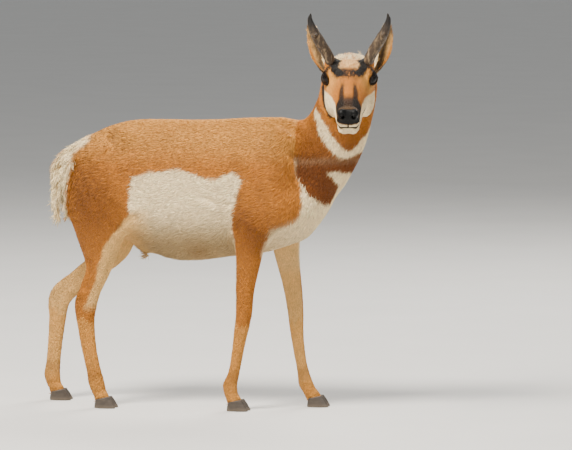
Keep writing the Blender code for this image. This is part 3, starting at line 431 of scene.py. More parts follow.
def ear_marks(colours, h, normals, kinds):
    """Tan behind and dark at the tip; inside, a white edge by the horn, a dark hollow and a tan rim. The
    cream inside and the dark hollow are partly painted shade inside the cup.
    """
    lay = partial(paint, colours)
    ear = kinds == "ear"
    mirror = outward(np.sign(h[:, 1]), 1.0, 1.0, 1.0)
    axis = EAR_TIP - EAR_ROOT
    share = (h * mirror - EAR_ROOT) @ axis / (axis @ axis)
    facing = np.sum((normals @ AXES) * mirror * unit(EAR_OPENING), axis=1)
    lay(TAN, ear)
    hollow = ear * ramp(facing - 0.30, 0.35)
    across = (h * mirror - EAR_ROOT) @ unit(np.cross(axis, EAR_OPENING))
    wisp = noise(h, 0.006, 12)
    # Inside, cream for the white hair darkened by painted shade in the cup; deeper in, dark skin with more
    # painted shade.
    lay(CREAM, 0.90 * hollow)
    lay(TAN, 0.55 * hollow * bump(across - 0.031, 0.005))
    deep = hollow * bump(across - 0.016 - 0.004 * wisp, 0.0110) * ramp(0.97 - share, 0.1)
    lay(EAR_SKIN_AND_SHADE, 0.93 * deep)
    edge = ear * ramp(facing - 0.10, 0.3) * ramp(0.003 - across + 0.003 * wisp, 0.005)
    lay(WHITE, 0.90 * edge)
    lay(DARK, 0.75 * ear * ramp(share - 0.93, 0.14))


def markings(points, normals, kinds):
    """The coat's colour at places on the skin: procedural, and alike on both sides."""
    m = points + SHIFT
    drift = np.stack([noise(m, 0.028, k) for k in (1, 2, 3)], axis=1) * 0.0050
    drift += np.stack([noise(m, 0.009, k) for k in (4, 5, 6)], axis=1) * 0.0022
    ragged = m + drift
    h = to_head(m + 0.30 * drift)
    colours = np.tile(np.array(TAN), (len(points), 1))
    body_marks(colours, ragged, normals, kinds)
    head_marks(colours, h, kinds)
    ear_marks(colours, h, normals, kinds)
    grain = 1 + 0.06 * noise(m, 0.022, 8) + 0.09 * noise(m * (1, 1, 1.6), 0.008, 9)
    return np.clip(colours * grain[:, None], 0, 1)


# Meshes

def values_of(block, name, width, kind=float):
    found = np.empty(len(block) * width, np.float32 if kind is float else np.int32)
    block.foreach_get(name, found)
    found = found.reshape(-1, width) if width > 1 else found
    return found.astype(np.float64 if kind is float else np.int64)


def arrays_of(mesh):
    """A mesh's points and its triangles."""
    mesh.calc_loop_triangles()
    return values_of(mesh.vertices, "co", 3), values_of(mesh.loop_triangles, "vertices", 3, int)


def new_mesh(name, points, faces):
    """A mesh of triangles from arrays."""
    mesh = bpy.data.meshes.new(name)
    mesh.vertices.add(len(points))
    mesh.vertices.foreach_set("co", np.asarray(points, np.float32).ravel())
    mesh.loops.add(3 * len(faces))
    mesh.loops.foreach_set("vertex_index", np.asarray(faces, np.int32).ravel())
    mesh.polygons.add(len(faces))
    mesh.polygons.foreach_set("loop_start", np.arange(0, 3 * len(faces), 3, dtype=np.int32))
    mesh.polygons.foreach_set("use_smooth", np.ones(len(faces), bool))
    mesh.update(calc_edges=True)
    return mesh


def new_object(name, mesh):
    made = bpy.data.objects.new(name, mesh)
    bpy.context.scene.collection.objects.link(made)
    return made


def place_piece(name, mesh, material, slot, *replaced):
    """A piece of the model in its material, with the nodes that it replaces; its slot is not used."""
    mesh.materials.append(MATERIALS[material])
    made = new_object(name, mesh)
    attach(made, "root")
    if replaced:
        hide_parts(*replaced)


def set_colours(mesh, colours):
    layer = mesh.color_attributes.new("shade", "FLOAT_COLOR", "POINT")
    full = np.ones((len(colours), 4), np.float32)
    full[:, :3] = colours
    layer.data.foreach_set("color", full.ravel())


def set_map(mesh, corners):
    layer = mesh.uv_layers.new(name="OFBake")
    layer.data.foreach_set("uv", np.asarray(corners, np.float32).ravel())


def solid_copy(names, swell, plugs=()):
    """The named solids as one loose mesh, swollen a little so that a remesh fuses them."""
    whole = bmesh.new()
    for name in names:
        part = bmesh.new()
        part.from_mesh(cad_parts[name].data)
        bmesh.ops.remove_doubles(part, verts=part.verts, dist=1e-5)
        part.normal_update()
        for vert in part.verts:
            vert.co += vert.normal * swell
        mesh = bpy.data.meshes.new("part")
        part.to_mesh(mesh)
        part.free()
        whole.from_mesh(mesh)
        bpy.data.meshes.remove(mesh)
    for place, radius in plugs:
        bmesh.ops.create_icosphere(whole, subdivisions=4, radius=radius, matrix=Matrix.Translation(place))
    mesh = bpy.data.meshes.new("solids")
    whole.to_mesh(mesh)
    whole.free()
    return new_object("solids", mesh)


def baked(obj):
    """The object's mesh with its modifiers applied; the object itself is removed."""
    graph = bpy.context.evaluated_depsgraph_get()
    mesh = bpy.data.meshes.new_from_object(obj.evaluated_get(graph))
    bpy.data.objects.remove(obj)
    return mesh


def remeshed(obj, voxel):
    modifier = obj.modifiers.new("remesh", "REMESH")
    modifier.mode = "VOXEL"
    modifier.voxel_size = voxel
    return baked(obj)


def thinned(mesh, target, loose):
    """Fewer triangles, taken only from the loose points."""
    obj = new_object("thin", mesh)
    group = obj.vertex_groups.new(name="loose")
    group.add(np.flatnonzero(loose).tolist(), 1.0, "REPLACE")
    modifier = obj.modifiers.new("thin", "DECIMATE")
    modifier.ratio = target / (2 * len(mesh.polygons))
    modifier.vertex_group = "loose"
    return baked(obj)


def edges_of(faces):
    pairs = np.concatenate((faces[:, (0, 1)], faces[:, (1, 2)], faces[:, (2, 0)]))
    pairs = np.sort(pairs, axis=1)
    key = pairs[:, 0] * (pairs.max() + 1) + pairs[:, 1]
    return pairs[np.unique(key, return_index=True)[1]]


def relax(values, edges, rounds, share):
    """Draws the value at each point towards its neighbours' mean, a few times."""
    a, b = edges.T
    count = np.maximum(np.bincount(edges.ravel(), minlength=len(values)), 1)
    size = len(values)
    values = values.copy()
    for _ in range(rounds):
        for k in range(values.shape[1]):
            column = values[:, k]
            mean = (np.bincount(a, column[b], size) + np.bincount(b, column[a], size)) / count
            values[:, k] = column + share * (mean - column)
    return values


def point_normals(points, faces):
    a, b, c = (points[faces[:, k]] for k in range(3))
    flat = np.cross(b - a, c - a)
    total = np.zeros_like(points)
    for k in range(3):
        for axis in range(3):
            total[:, axis] += np.bincount(faces[:, k], flat[:, axis], len(points))
    return unit(total)


def refined(mesh, zones):
    """Cuts the triangles in each zone into four."""
    work = bmesh.new()
    work.from_mesh(mesh)
    bmesh.ops.triangulate(work, faces=work.faces)
    for place, radius in zones:
        near = [e for e in work.edges if (e.verts[0].co - place).length < radius]
        bmesh.ops.subdivide_edges(work, edges=near, cuts=1)
        bmesh.ops.triangulate(work, faces=[f for f in work.faces if len(f.verts) > 3])
    work.to_mesh(mesh)
    work.free()
    return arrays_of(mesh)


class Skin:
    """Points, triangles and the fields that the coat grows by."""

    def __init__(self, points, faces):
        self.points = points
        self.faces = faces
        self.edges = edges_of(faces)
        self.update()

    def update(self):
        self.normals = point_normals(self.points, self.faces)


def flesh_names():
    flesh = ("torso", "neck", "head", "tail", "ear", "foreleg", "hindleg")
    return [name for name in sorted(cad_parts) if name.split("_")[0] in flesh]


def owners(points, names):
    """Which solid each point belongs to, as an index in the names."""
    verts, faces, of = [], [], []
    for index, name in enumerate(names):
        places, triangles = arrays_of(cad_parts[name].data)
        faces.extend((triangles + len(verts)).tolist())
        verts.extend(places.tolist())
        of.extend([index] * len(triangles))
    tree = BVHTree.FromPolygons(verts, faces)
    of = np.array(of)
    return of[[tree.find_nearest(point)[2] for point in points.tolist()]]


def kind_of(name):
    return name.replace("_left", "").replace("_right", "")


def mouth_level(y):
    """Height of the line of the mouth, which drops towards its corners."""
    return MOUTH_LEVEL - MOUTH_DROP * np.clip(np.abs(y) / MOUTH_HALF, 0, 1) ** 2


def sculpt_lids(skin):
    """Opens the skin over each eyeball in an almond with rounded lips and a fold above it."""
    for side in (1, -1):
        centre = to_packed(EYE_CENTRE * (1, side, 1))
        away = skin.points - centre
        far = np.linalg.norm(away, axis=1)
        near = np.flatnonzero(far < LID_ZONE)
        h = to_head(skin.points[near] + SHIFT)
        outside, deep, rise, _ = almond(h, side)
        away, far = away[near], far[near]
        lip = EYE_RADIUS + 0.0010 + LID_LIP * np.clip(outside / 0.0022, 0, 1) ** 0.6
        lip += 0.0012 * bump(outside - 0.0035, 0.0030)
        lip -= 0.0011 * bump(outside - LID_CREASE, 0.0016) * (rise > 0)
        lip -= 0.0008 * bump(outside - LID_CREASE * 0.8, 0.0014) * (rise < 0)
        goal = np.where(outside < -0.0004, EYE_RADIUS - 0.0035, lip)
        weight = (1 - np.clip((outside - 0.0050) / 0.0070, 0, 1)) * (deep > 0.0035)
        weight = weight * weight * (3 - 2 * weight)
        moved = far + (goal - far) * weight
        skin.points[near] = centre + away / far[:, None] * moved[:, None]
    skin.update()


def sculpt_muzzle(skin):
    """Sinks the nostrils, the line of the mouth and the groove below the nose."""
    h = to_head(skin.points + SHIFT)
    x, y, z = h.T
    level = mouth_level(y)
    mirrored = folded(h) - NOSTRIL
    pit = bump(np.linalg.norm(mirrored / (0.011, 0.0050, 0.0065), axis=1), 1.0) * (x > 0.265)
    front = np.abs(np.degrees(np.arctan2(y, x - MOUTH_CENTRE))) < MOUTH_TURN
    mouth = bump(z - level + 0.0008, 0.0016) * front * (x > 0.19)
    groove = bump(y, 0.0013) * ramp(x - 0.285, 0.004) * ramp(z - MOUTH_LEVEL, 0.002) * ramp(-0.016 - z, 0.006)
    lips = bump(z - level - 0.0055, 0.0045) + bump(z - level + 0.0055, 0.0040)
    lips = lips * front * (x > 0.2)
    wing = bump(np.linalg.norm(mirrored / (0.016, 0.0095, 0.0115), axis=1) - 1.0, 0.30) * (x > 0.268)
    chin = CHIN_DROP * ramp(x - 0.225, 0.060) * ramp(MOUTH_LEVEL - 0.004 - z, 0.014)
    skin.points -= chin[:, None] * AXES[:, 2]
    depth = 0.0052 * pit + 0.0026 * mouth + 0.0014 * groove - 0.0008 * lips - 0.0011 * wing
    skin.points -= skin.normals * depth[:, None]
    skin.update()


# Folds of the body on the side that the camera sees, mirrored for the other: depth, width and path
FOLDS = (
    (0.0045, 0.007, ((0.052, -0.127, 0.628), (0.072, -0.124, 0.620), (0.092, -0.121, 0.613),
                     (0.115, -0.118, 0.611))),
    (0.0045, 0.011, ((0.118, -0.108, 0.540), (0.121, -0.114, 0.568), (0.128, -0.116, 0.590),
                     (0.140, -0.114, 0.628))),
    (0.0060, 0.010, ((0.292, -0.092, 0.748), (0.301, -0.092, 0.729), (0.306, -0.090, 0.700),
                     (0.308, -0.088, 0.686))),
    (0.0040, 0.010, ((-0.165, -0.116, 0.571), (-0.185, -0.120, 0.556), (-0.215, -0.123, 0.530))),
    (0.0040, 0.009, ((-0.308, -0.112, 0.440), (-0.312, -0.108, 0.400), (-0.322, -0.104, 0.360))),
    (0.0030, 0.020, ((-0.255, -0.120, 0.560), (-0.270, -0.122, 0.600), (-0.268, -0.120, 0.650))),
    (0.0030, 0.022, ((0.215, -0.112, 0.560), (0.245, -0.110, 0.640), (0.230, -0.100, 0.715))),
)


def sculpt_body(skin, kinds):
    """Presses the main folds of the trunk and legs into the skin."""
    m = skin.points + SHIFT
    depth = np.zeros(len(m))
    outer = np.sign(m[:, 1]) * skin.normals[:, 1] > 0.15
    for deep, width, path in FOLDS:
        depth += deep * bump(near_path(folded(m, -1), path), width) * np.isin(kinds, TRUNK) * outer
    skin.points -= skin.normals * depth[:, None]
    skin.update()


def smooth_locks(skin, kinds):
    """Melts the solids' locks and facets away, most on the rump, tail and crown."""
    m = skin.points + SHIFT
    h = to_head(m)
    rump = ramp(-0.325 - m[:, 0], 0.02) * ramp(m[:, 2] - 0.50, 0.03)
    crown = ramp(0.050 - h[:, 0], 0.015) * ramp(h[:, 2] + 0.020, 0.02) * (kinds == "head")
    sheath = bump(m[:, 0] + 0.135, 0.05) * ramp(0.52 - m[:, 2], 0.02) * (np.abs(m[:, 1]) < 0.06)
    loose = np.clip(rump + crown + sheath, 0, 1)
    skin.points = relax(skin.points, skin.edges, 40, 0.55 * loose)
    firm = np.where(np.isin(kinds, ("head", "ear")), 0.25, 0.5)
    skin.points = relax(skin.points, skin.edges, 7, firm)
    skin.update()


# How far the skin lies inside the solids, for each kind of node
COAT_DEPTH = {
    "torso": 0.0030, "neck": 0.0028, "head": 0.0012, "ear": 0.0003, "tail": 0.0015,
    "foreleg_upper": 0.0020, "hindleg_upper": 0.0022, "foreleg_lower": 0.0010, "hindleg_lower": 0.0010,
}


def make_skin():
    """The flesh of all its nodes in one piece, smoothed, sculpted and drawn in by the coat's depth."""
    names = flesh_names()
    eyes = [Vector(to_packed(EYE_CENTRE * (1, side, 1))) for side in (1, -1)]
    plugs = [(eye, EYE_RADIUS + 0.0012) for eye in eyes]
    mesh = remeshed(solid_copy(names, SOLID_SWELL, plugs), VOXEL)
    points = values_of(mesh.vertices, "co", 3)
    h = to_head(points + SHIFT)
    head = np.linalg.norm((h - HEAD_MIDDLE) / HEAD_REACH, axis=1) < 1
    mesh = thinned(mesh, SKIN_FACES, ~head)
    zones = [(eye, FINE_EYE) for eye in eyes]
    zones.append((Vector(to_packed(NOSE_MIDDLE)), FINE_NOSE))
    points, faces = refined(mesh, zones)
    skin = Skin(points, faces)
    skin.owner = owners(points, names)
    kinds = np.array([kind_of(name) for name in names])[skin.owner]
    smooth_locks(skin, kinds)
    sculpt_body(skin, kinds)
    depth = np.array([COAT_DEPTH[kind] for kind in kinds])[:, None]
    depth = relax(depth, skin.edges, 12, 0.5)
    skin.points = skin.points - skin.normals * depth
    skin.update()
    sculpt_lids(skin)
    sculpt_muzzle(skin)
    skin.kinds = kinds
    return skin


# The coat's map: the skin cut into charts by part and facing, laid in shelves

MAP_GAP = 0.008


def unwrap(skin):
    """Places of each triangle's corners on a flat layout of the skin, between 0 and 1."""
    a, b, c = (skin.points[skin.faces[:, k]] for k in range(3))
    facing = unit(np.cross(b - a, c - a))
    way = np.argmax(np.abs(facing), axis=1)
    side = np.take_along_axis(facing, way[:, None], 1)[:, 0] > 0
    chart = skin.owner[skin.faces[:, 0]] * 6 + way * 2 + side
    first = np.array((1, 0, 0))[way]
    second = np.array((2, 2, 1))[way]
    corner = np.stack((a, b, c), axis=1)
    rows = np.arange(len(corner))
    flat = np.stack((corner[rows, :, first], corner[rows, :, second]), axis=2)
    sizes = {}
    for index in np.unique(chart):
        inside = flat[chart == index].reshape(-1, 2)
        sizes[index] = (inside.min(axis=0), inside.max(axis=0))
    order = sorted(sizes, key=lambda index: -(sizes[index][1][1] - sizes[index][0][1]))
    area = sum(np.prod(high - low + MAP_GAP) for low, high in sizes.values())
    breadth = 1.15 * math.sqrt(area)
    left, foot, tall, widest = 0.0, 0.0, 0.0, 0.0
    for index in order:
        low, high = sizes[index]
        wide, high_part = high - low + MAP_GAP
        if left + wide > breadth:
            left, foot, tall = 0.0, foot + tall, 0.0
        flat[chart == index] += np.array((left, foot)) - low + MAP_GAP / 2
        left += wide
        tall = max(tall, high_part)
        widest = max(widest, left)
    return flat / max(widest, foot + tall)


# Lie of the coat

def coat_lie(skin):
    """The way that the hair lies at each point of the skin."""
    m = skin.points + SHIFT
    h = to_head(m)
    x, y, z = m.T
    lie = np.tile((-1.0, 0.0, -0.42), (len(m), 1))
    kinds = skin.kinds
    lie[kinds == "neck"] = (-0.55, 0.0, -1.0)
    lie[np.isin(kinds, LEGS)] = (-0.12, 0.0, -1.0)
    lie[kinds == "hindleg_upper"] = (-0.50, 0.0, -1.0)
    lie[kinds == "tail"] = (-0.25, 0.0, -1.0)
    chest = (kinds == "torso") & (x > 0.27)
    lie[chest] = (-0.25, 0.0, -1.0)
    rump = (x < -0.33) & (z > 0.52)
    lie[rump] = outward(np.sign(y), -0.35, 0.25, -1.0)[rump]
    side = np.sign(h[:, 1])
    back = outward(side, -1.0, 0.20, -0.10) @ AXES.T
    low = outward(side, -1.0, 0.05, -0.35) @ AXES.T
    face = kinds == "head"
    lie[face] = np.where((h[:, 2] < -0.05)[:, None], low, back)[face]
    up = outward(side, *(EAR_TIP - EAR_ROOT)) @ AXES.T
    lie[kinds == "ear"] = up[kinds == "ear"]
    lie = relax(unit(lie), skin.edges, 14, 0.6)
    lie -= skin.normals * np.sum(lie * skin.normals, axis=1)[:, None]
    return unit(lie)


# Tufts

def scatter(skin, weight, spacing, rng):
    """Roots set evenly over the skin where the weight is: triangle and place in it."""
    share = skin.areas * weight
    count = int(3.2 * share.sum() / spacing ** 2)
    face = rng.choice(len(share), count, p=share / share.sum())
    u, v = rng.random((2, count))
    fold = u + v > 1
    u, v = np.where(fold, 1 - u, u), np.where(fold, 1 - v, v)
    part = np.stack((1 - u - v, u, v), axis=1)
    place = np.einsum("nk,nkc->nc", part, skin.points[skin.faces[face]])
    cell = np.floor(place / spacing).astype(np.int64) + 4096
    key = (cell[:, 0] * 8192 + cell[:, 1]) * 8192 + cell[:, 2]
    first = np.sort(np.unique(key, return_index=True)[1])
    return face[first], part[first]


# Each piece's tufts: spacing, length, width, lift, bend, and how much they stray and vary in tone
TUFTS = {
    "coat_muzzle": (0.0019, 0.0052, 0.0015, 0.15, 0.10, 0.16, 0.09),
    "coat_face": (0.0021, 0.0085, 0.0017, 0.15, 0.10, 0.16, 0.09),
    "coat_ears": (0.0022, 0.0095, 0.0017, 0.18, 0.12, 0.16, 0.09),
    "coat_neck": (0.0027, 0.0165, 0.0021, 0.17, 0.09, 0.16, 0.09),
    "coat_body": (0.0034, 0.0210, 0.0025, 0.14, 0.07, 0.16, 0.09),
    "coat_foreleg": (0.0027, 0.0115, 0.0020, 0.13, 0.09, 0.16, 0.09),
    "coat_hindleg": (0.0028, 0.0130, 0.0021, 0.13, 0.09, 0.16, 0.09),
    "rump_hair": (0.0032, 0.0330, 0.0026, 0.24, 0.14, 0.13, 0.09),
    "tail_hair": (0.0034, 0.0330, 0.0026, 0.22, 0.14, 0.13, 0.09),
    "crown_hair": (0.0030, 0.0125, 0.0020, 0.55, 0.35, 0.45, 0.16),
}
SLOTS = {"coat_ears": "ear", "rump_hair": "pale_hair", "tail_hair": "pale_hair", "crown_hair": "pale_hair"}

# Rings of a tuft between its root and its point: place along it and share of its width
SHORT_RINGS = ((0.38, 1.0),)
LONG_RINGS = ((0.22, 0.80), (0.62, 0.85))
TUFT_RIDGE = 0.30
TUFT_SINK = 0.0008

# A tuft's patch on the map: its points lie round its root's place
PATCH_REACH = 0.0015
PATCH_TURN = 2.4
PATCH_EDGE = 0.0005


def tuft_mesh(name, roots, normals, ways, lengths, widths, lifts, bends, tones, corners, rings):
    """Closed tapering tufts, each from its root along its way, as one mesh with colours and a map."""
    count = len(roots)
    across = np.cross(normals, ways)
    length, width = lengths[:, None], widths[:, None]
    columns = [roots - normals * TUFT_SINK]
    shades = [tones * 0.80]
    for along, wide in rings:
        rise = lifts * along - bends * along ** 2
        middle = roots + length * (ways * along + normals * rise[:, None])
        half = across * (width * wide / 2)
        columns += [middle + half, middle + normals * (width * wide * TUFT_RIDGE), middle - half]
        shades += [tones * (0.90 + 0.12 * along)] * 3
    columns.append(roots + length * (ways + normals * (lifts - bends)[:, None]))
    shades.append(tones * 1.08)
    points = np.stack(columns, axis=1).reshape(-1, 3)
    each = len(columns)
    pattern = [(0, 1 + (k + 1) % 3, 1 + k) for k in range(3)]
    for ring in range(len(rings) - 1):
        a, b = 1 + 3 * ring, 4 + 3 * ring
        for k in range(3):
            n = (k + 1) % 3
            pattern += [(a + k, a + n, b + n), (a + k, b + n, b + k)]
    last = 1 + 3 * (len(rings) - 1)
    pattern += [(last + k, last + (k + 1) % 3, each - 1) for k in range(3)]
    pattern = np.array(pattern)
    faces = (np.arange(count)[:, None, None] * each + pattern).reshape(-1, 3)
    mesh = new_mesh(name, points, faces)
    set_colours(mesh, np.clip(np.stack(shades, axis=1).reshape(-1, 3), 0, 1))
    turns = PATCH_TURN * np.arange(each)
    spots = PATCH_REACH * np.stack((np.cos(turns), np.sin(turns)), axis=1)
    spread = np.clip(corners[:, None, :] + spots, PATCH_EDGE, 1 - PATCH_EDGE)
    set_map(mesh, spread[:, pattern.ravel(), :].reshape(-1, 2))
    return mesh


def grow(skin, name, weight, rng):
    """One piece of the coat, on the triangles that the weight picks."""
    spacing, length, width, lift, bend, stray, vary = TUFTS[kind_of(name)]
    rings = LONG_RINGS if name.endswith("_hair") else SHORT_RINGS
    face, part = scatter(skin, weight, spacing, rng)
    corners = skin.faces[face]
    roots, normals, ways = (
        np.einsum("nk,nkc->nc", part, field[corners]) for field in (skin.points, skin.normals, skin.lie))
    normals = unit(normals)
    ways = ways + rng.normal(0, stray, (len(face), 3))
    ways = unit(ways - normals * np.sum(ways * normals, axis=1)[:, None])
    size = len(face)
    lengths = length * rng.uniform(0.72, 1.25, size)
    widths = width * rng.uniform(0.75, 1.25, size)
    lifts = lift * rng.uniform(0.7, 1.35, size)
    bends = bend * rng.uniform(0.7, 1.3, size)
    colours = markings(roots, normals, skin.kinds[corners[:, 0]])
    colours = colours * np.exp(rng.normal(0, vary, size))[:, None]
    flat = np.einsum("nk,nkc->nc", part, skin.map[face])
    mesh = tuft_mesh(name, roots, normals, ways, lengths, widths, lifts, bends, colours, flat, rings)
    place_piece(name, mesh, "coat", SLOTS.get(name, "coat"))


# Materials

class Surface:
    """A material, and the nodes that give it a grain, a colour and a relief."""

    def __init__(self, name, roughness, specular=0.5):
        self.material = bpy.data.materials.new(name)
        self.material.use_nodes = True
        self.nodes = self.material.node_tree.nodes
        self.link = self.material.node_tree.links.new
        self.inputs = self.nodes["Principled BSDF"].inputs
        self.inputs["Roughness"].default_value = roughness
        self.inputs["Specular IOR Level"].default_value = specular

    def add(self, kind, values=()):
        node = self.nodes.new("ShaderNode" + kind)
        for key, value in values:
            node.inputs[key].default_value = value
        return node

    def noise(self, scale, detail, stretch=(1.0, 1.0, 1.0)):
        place = self.add("TexCoord")
        mapping = self.add("Mapping", [("Scale", stretch)])
        found = self.add("TexNoise", [("Scale", scale), ("Detail", detail)])
        self.link(place.outputs["Object"], mapping.inputs["Vector"])
        self.link(mapping.outputs["Vector"], found.inputs["Vector"])
        return found.outputs["Fac"]

    def relief(self, height, strength, distance):
        raised = self.add("Bump", [("Strength", strength), ("Distance", distance)])
        self.link(height, raised.inputs["Height"])
        self.link(raised.outputs["Normal"], self.inputs["Normal"])

    def shade(self, height, low, high):
        """Colour from the shade attribute, darker and lighter with a height."""
        colour = self.add("Attribute")
        colour.attribute_name = "shade"
        level = self.add("MapRange", [("To Min", low), ("To Max", high)])
        mixed = self.add("VectorMath")
        mixed.operation = "SCALE"
        self.link(height, level.inputs["Value"])
        self.link(colour.outputs["Color"], mixed.inputs[0])
        self.link(level.outputs["Result"], mixed.inputs["Scale"])
        self.link(mixed.outputs["Vector"], self.inputs["Base Color"])


def make_materials():
    coat = Surface("coat_hair", 0.62, 0.18)
    coat.inputs["Sheen Weight"].default_value = 0.04
    coat.inputs["Sheen Roughness"].default_value = 0.55
    coat.shade(coat.noise(260.0, 2.0), 0.88, 1.12)

    skin = Surface("skin_undercoat", 0.80, 0.14)
    grain = skin.noise(620.0, 4.0)
    skin.shade(grain, 0.72, 1.12)
    skin.relief(grain, 0.55, 0.0016)

    nose = Surface("nose_leather", 0.45, 0.16)
    pebbles = nose.add("TexVoronoi", [("Scale", 620.0)])
    nose.link(nose.add("TexCoord").outputs["Object"], pebbles.inputs["Vector"])
    nose.shade(pebbles.outputs["Distance"], 0.8, 1.3)
    nose.relief(pebbles.outputs["Distance"], 0.5, 0.0007)

    eye = Surface("eye_wet", 0.10, 0.12)
    eye.inputs["Coat Weight"].default_value = 0.10
    eye.inputs["Coat Roughness"].default_value = 0.03
    eye.shade(eye.noise(900.0, 3.0), 0.85, 1.15)

    horn = Surface("horn_sheath", 0.50, 0.30)
    grain = horn.noise(60.0, 6.0, (9.0, 9.0, 1.0))
    horn.shade(grain, 0.55, 1.45)
    horn.relief(grain, 0.7, 0.0022)

    hoof = Surface("hoof_horn", 0.48)
    grain = hoof.noise(45.0, 5.0, (1.0, 1.0, 7.0))
    hoof.shade(grain, 0.60, 1.45)
    hoof.relief(grain, 0.5, 0.0012)

    floor = Surface("pale_floor", 0.85)
    tint = floor.add("ValToRGB")
    tint.color_ramp.elements[0].color = FLOOR_DARK
    tint.color_ramp.elements[1].color = FLOOR_PALE
    floor.link(floor.noise(3.0, 4.0), tint.inputs["Fac"])
    floor.link(tint.outputs["Color"], floor.inputs["Base Color"])
    made = {"coat": coat, "skin": skin, "nose": nose, "eye": eye, "horn": horn, "hoof": hoof, "floor": floor}
    return {name: surface.material for name, surface in made.items()}


# Pieces

def add_skin_object(skin):
    mesh = new_mesh("skin", skin.points, skin.faces)
    set_colours(mesh, markings(skin.points, skin.normals, skin.kinds) * UNDERCOAT)
    set_map(mesh, skin.map.reshape(-1, 2))
    h = to_head(skin.points + SHIFT)[skin.faces].mean(axis=1)
    bare = (h[:, 0] > NOSE_BACK) & (h[:, 2] > NOSE_FOOT) & (np.abs(h[:, 1]) < 0.05)
    mesh.polygons.foreach_set("material_index", bare.astype(np.int32))
    place_piece("skin", mesh, "skin", "coat", *flesh_names())
    mesh.materials.append(MATERIALS["nose"])


def face_weights(skin, kinds):
    """1 on the triangles whose first point is of one of the kinds."""
    return np.isin(skin.kinds[skin.faces[:, 0]], kinds).astype(float)


def grow_coat(skin):
    rng = np.random.default_rng(SEED)
    m = skin.points[skin.faces].mean(axis=1) + SHIFT
    h = to_head(m)
    x, y, z = m.T
    ahead, out, up = h.T
    out = np.abs(out)
    bare = (ahead > 0.276) & (up > -0.030)
    opening = np.zeros(len(m))
    for side in (1, -1):
        outside, deep, _, _ = almond(h, side)
        opening = np.maximum(opening, (outside < 0.0042) & (deep > 0))
    hem = 0.0030 + 0.0032 * (ahead > 0.268) + 0.0025 * (out < 0.010)
    mouth = (np.abs(up - mouth_level(out) - 0.0018) < hem) & (ahead > 0.20)
    mouth |= (out < 0.0022) & (ahead > 0.27) & (up < -0.024) & (up > MOUTH_LEVEL)
    head = face_weights(skin, ["head"]) * ~bare * (1 - opening) * ~mouth
    muzzle = head * (ahead > 0.215)
    rump = ramp(table(RUMP_EDGE, z) + 0.006 - x, 0.012) * (z > 0.57)
    rump = rump * face_weights(skin, ["torso", "hindleg_upper"])
    grow(skin, "coat_muzzle", muzzle, rng)
    grow(skin, "coat_face", head * (ahead <= 0.215), rng)
    grow(skin, "coat_ears", face_weights(skin, ["ear"]), rng)
    grow(skin, "coat_neck", face_weights(skin, ["neck"]), rng)
    torso = face_weights(skin, ["torso"]) * (1 - rump)
    for side, name in ((1, "left"), (-1, "right")):
        half = (y * side > 0).astype(float)
        fore = face_weights(skin, ["foreleg_upper", "foreleg_lower"]) * half
        hind = face_weights(skin, ["hindleg_upper", "hindleg_lower"]) * half * (1 - rump)
        grow(skin, f"coat_body_{name}", torso * half, rng)
        grow(skin, f"coat_foreleg_{name}", fore, rng)
        grow(skin, f"coat_hindleg_{name}", hind, rng)
    grow(skin, "rump_hair", rump, rng)
    grow(skin, "tail_hair", face_weights(skin, ["tail"]), rng)
    crown = head * ramp(0.036 - ahead, 0.010) * (ahead > -0.02) * (up > -0.03) * (out < 0.050)
    grow(skin, "crown_hair", crown, rng)
    add_lashes(skin, rng)


LASHES = 34
LASH_LENGTH = 0.0170
LASH_WIDTH = 0.0011
LASH_LIFT = -0.10
LASH_BEND = -0.30


def add_lashes(skin, rng):
    """A row of dark lashes along each upper lid, pointing out and curled up."""
    look, along, rise = eye_axes()
    tree = BVHTree.FromPolygons(skin.points.tolist(), skin.faces.tolist())
    roots, ways, normals, spots = [], [], [], []
    for side in (1, -1):
        mirror = np.array((1, side, 1))
        for k in range(LASHES):
            angle = math.pi * (0.06 + 0.88 * (k + rng.uniform(-0.3, 0.3)) / (LASHES - 1))
            c, s = math.cos(angle), math.sin(angle)
            place = EYE_CENTRE + look * 0.0150 + along * (LID_LENGTH / 2 * 1.05 * c)
            place = place + rise * (LID_UP * 1.1 * s ** 1.25)
            spot, _, face, _ = tree.find_nearest(to_packed(place * mirror).tolist())
            way = look * 0.75 + along * (0.75 * c) + rise * 0.25 + rng.normal(0, 0.10, 3)
            roots.append(np.array(spot))
            ways.append(AXES @ (unit(way) * mirror))
            normals.append(AXES @ (rise * mirror))
            spots.append(skin.map[face].mean(axis=0))
    roots, ways, normals = np.array(roots), unit(np.array(ways)), np.array(normals)
    normals = unit(normals - ways * np.sum(normals * ways, axis=1)[:, None])
    size = len(roots)
    lengths = LASH_LENGTH * rng.uniform(0.6, 1.2, size)
    mesh = tuft_mesh("lashes", roots, normals, ways, lengths, np.full(size, LASH_WIDTH),
                     np.full(size, LASH_LIFT), np.full(size, LASH_BEND), np.tile(BLACK, (size, 1)),
                     np.array(spots), LONG_RINGS)
    place_piece("lashes", mesh, "coat", "coat")


def round_mesh(name, centre, radius, rows=48, columns=72):
    """A fine ball."""
    work = bmesh.new()
    bmesh.ops.create_uvsphere(work, u_segments=columns, v_segments=rows, radius=radius,
                              matrix=Matrix.Translation(centre))
    bmesh.ops.triangulate(work, faces=work.faces)
    mesh = bpy.data.meshes.new(name)
    work.to_mesh(mesh)
    work.free()
    mesh.polygons.foreach_set("use_smooth", np.ones(len(mesh.polygons), bool))
    return mesh


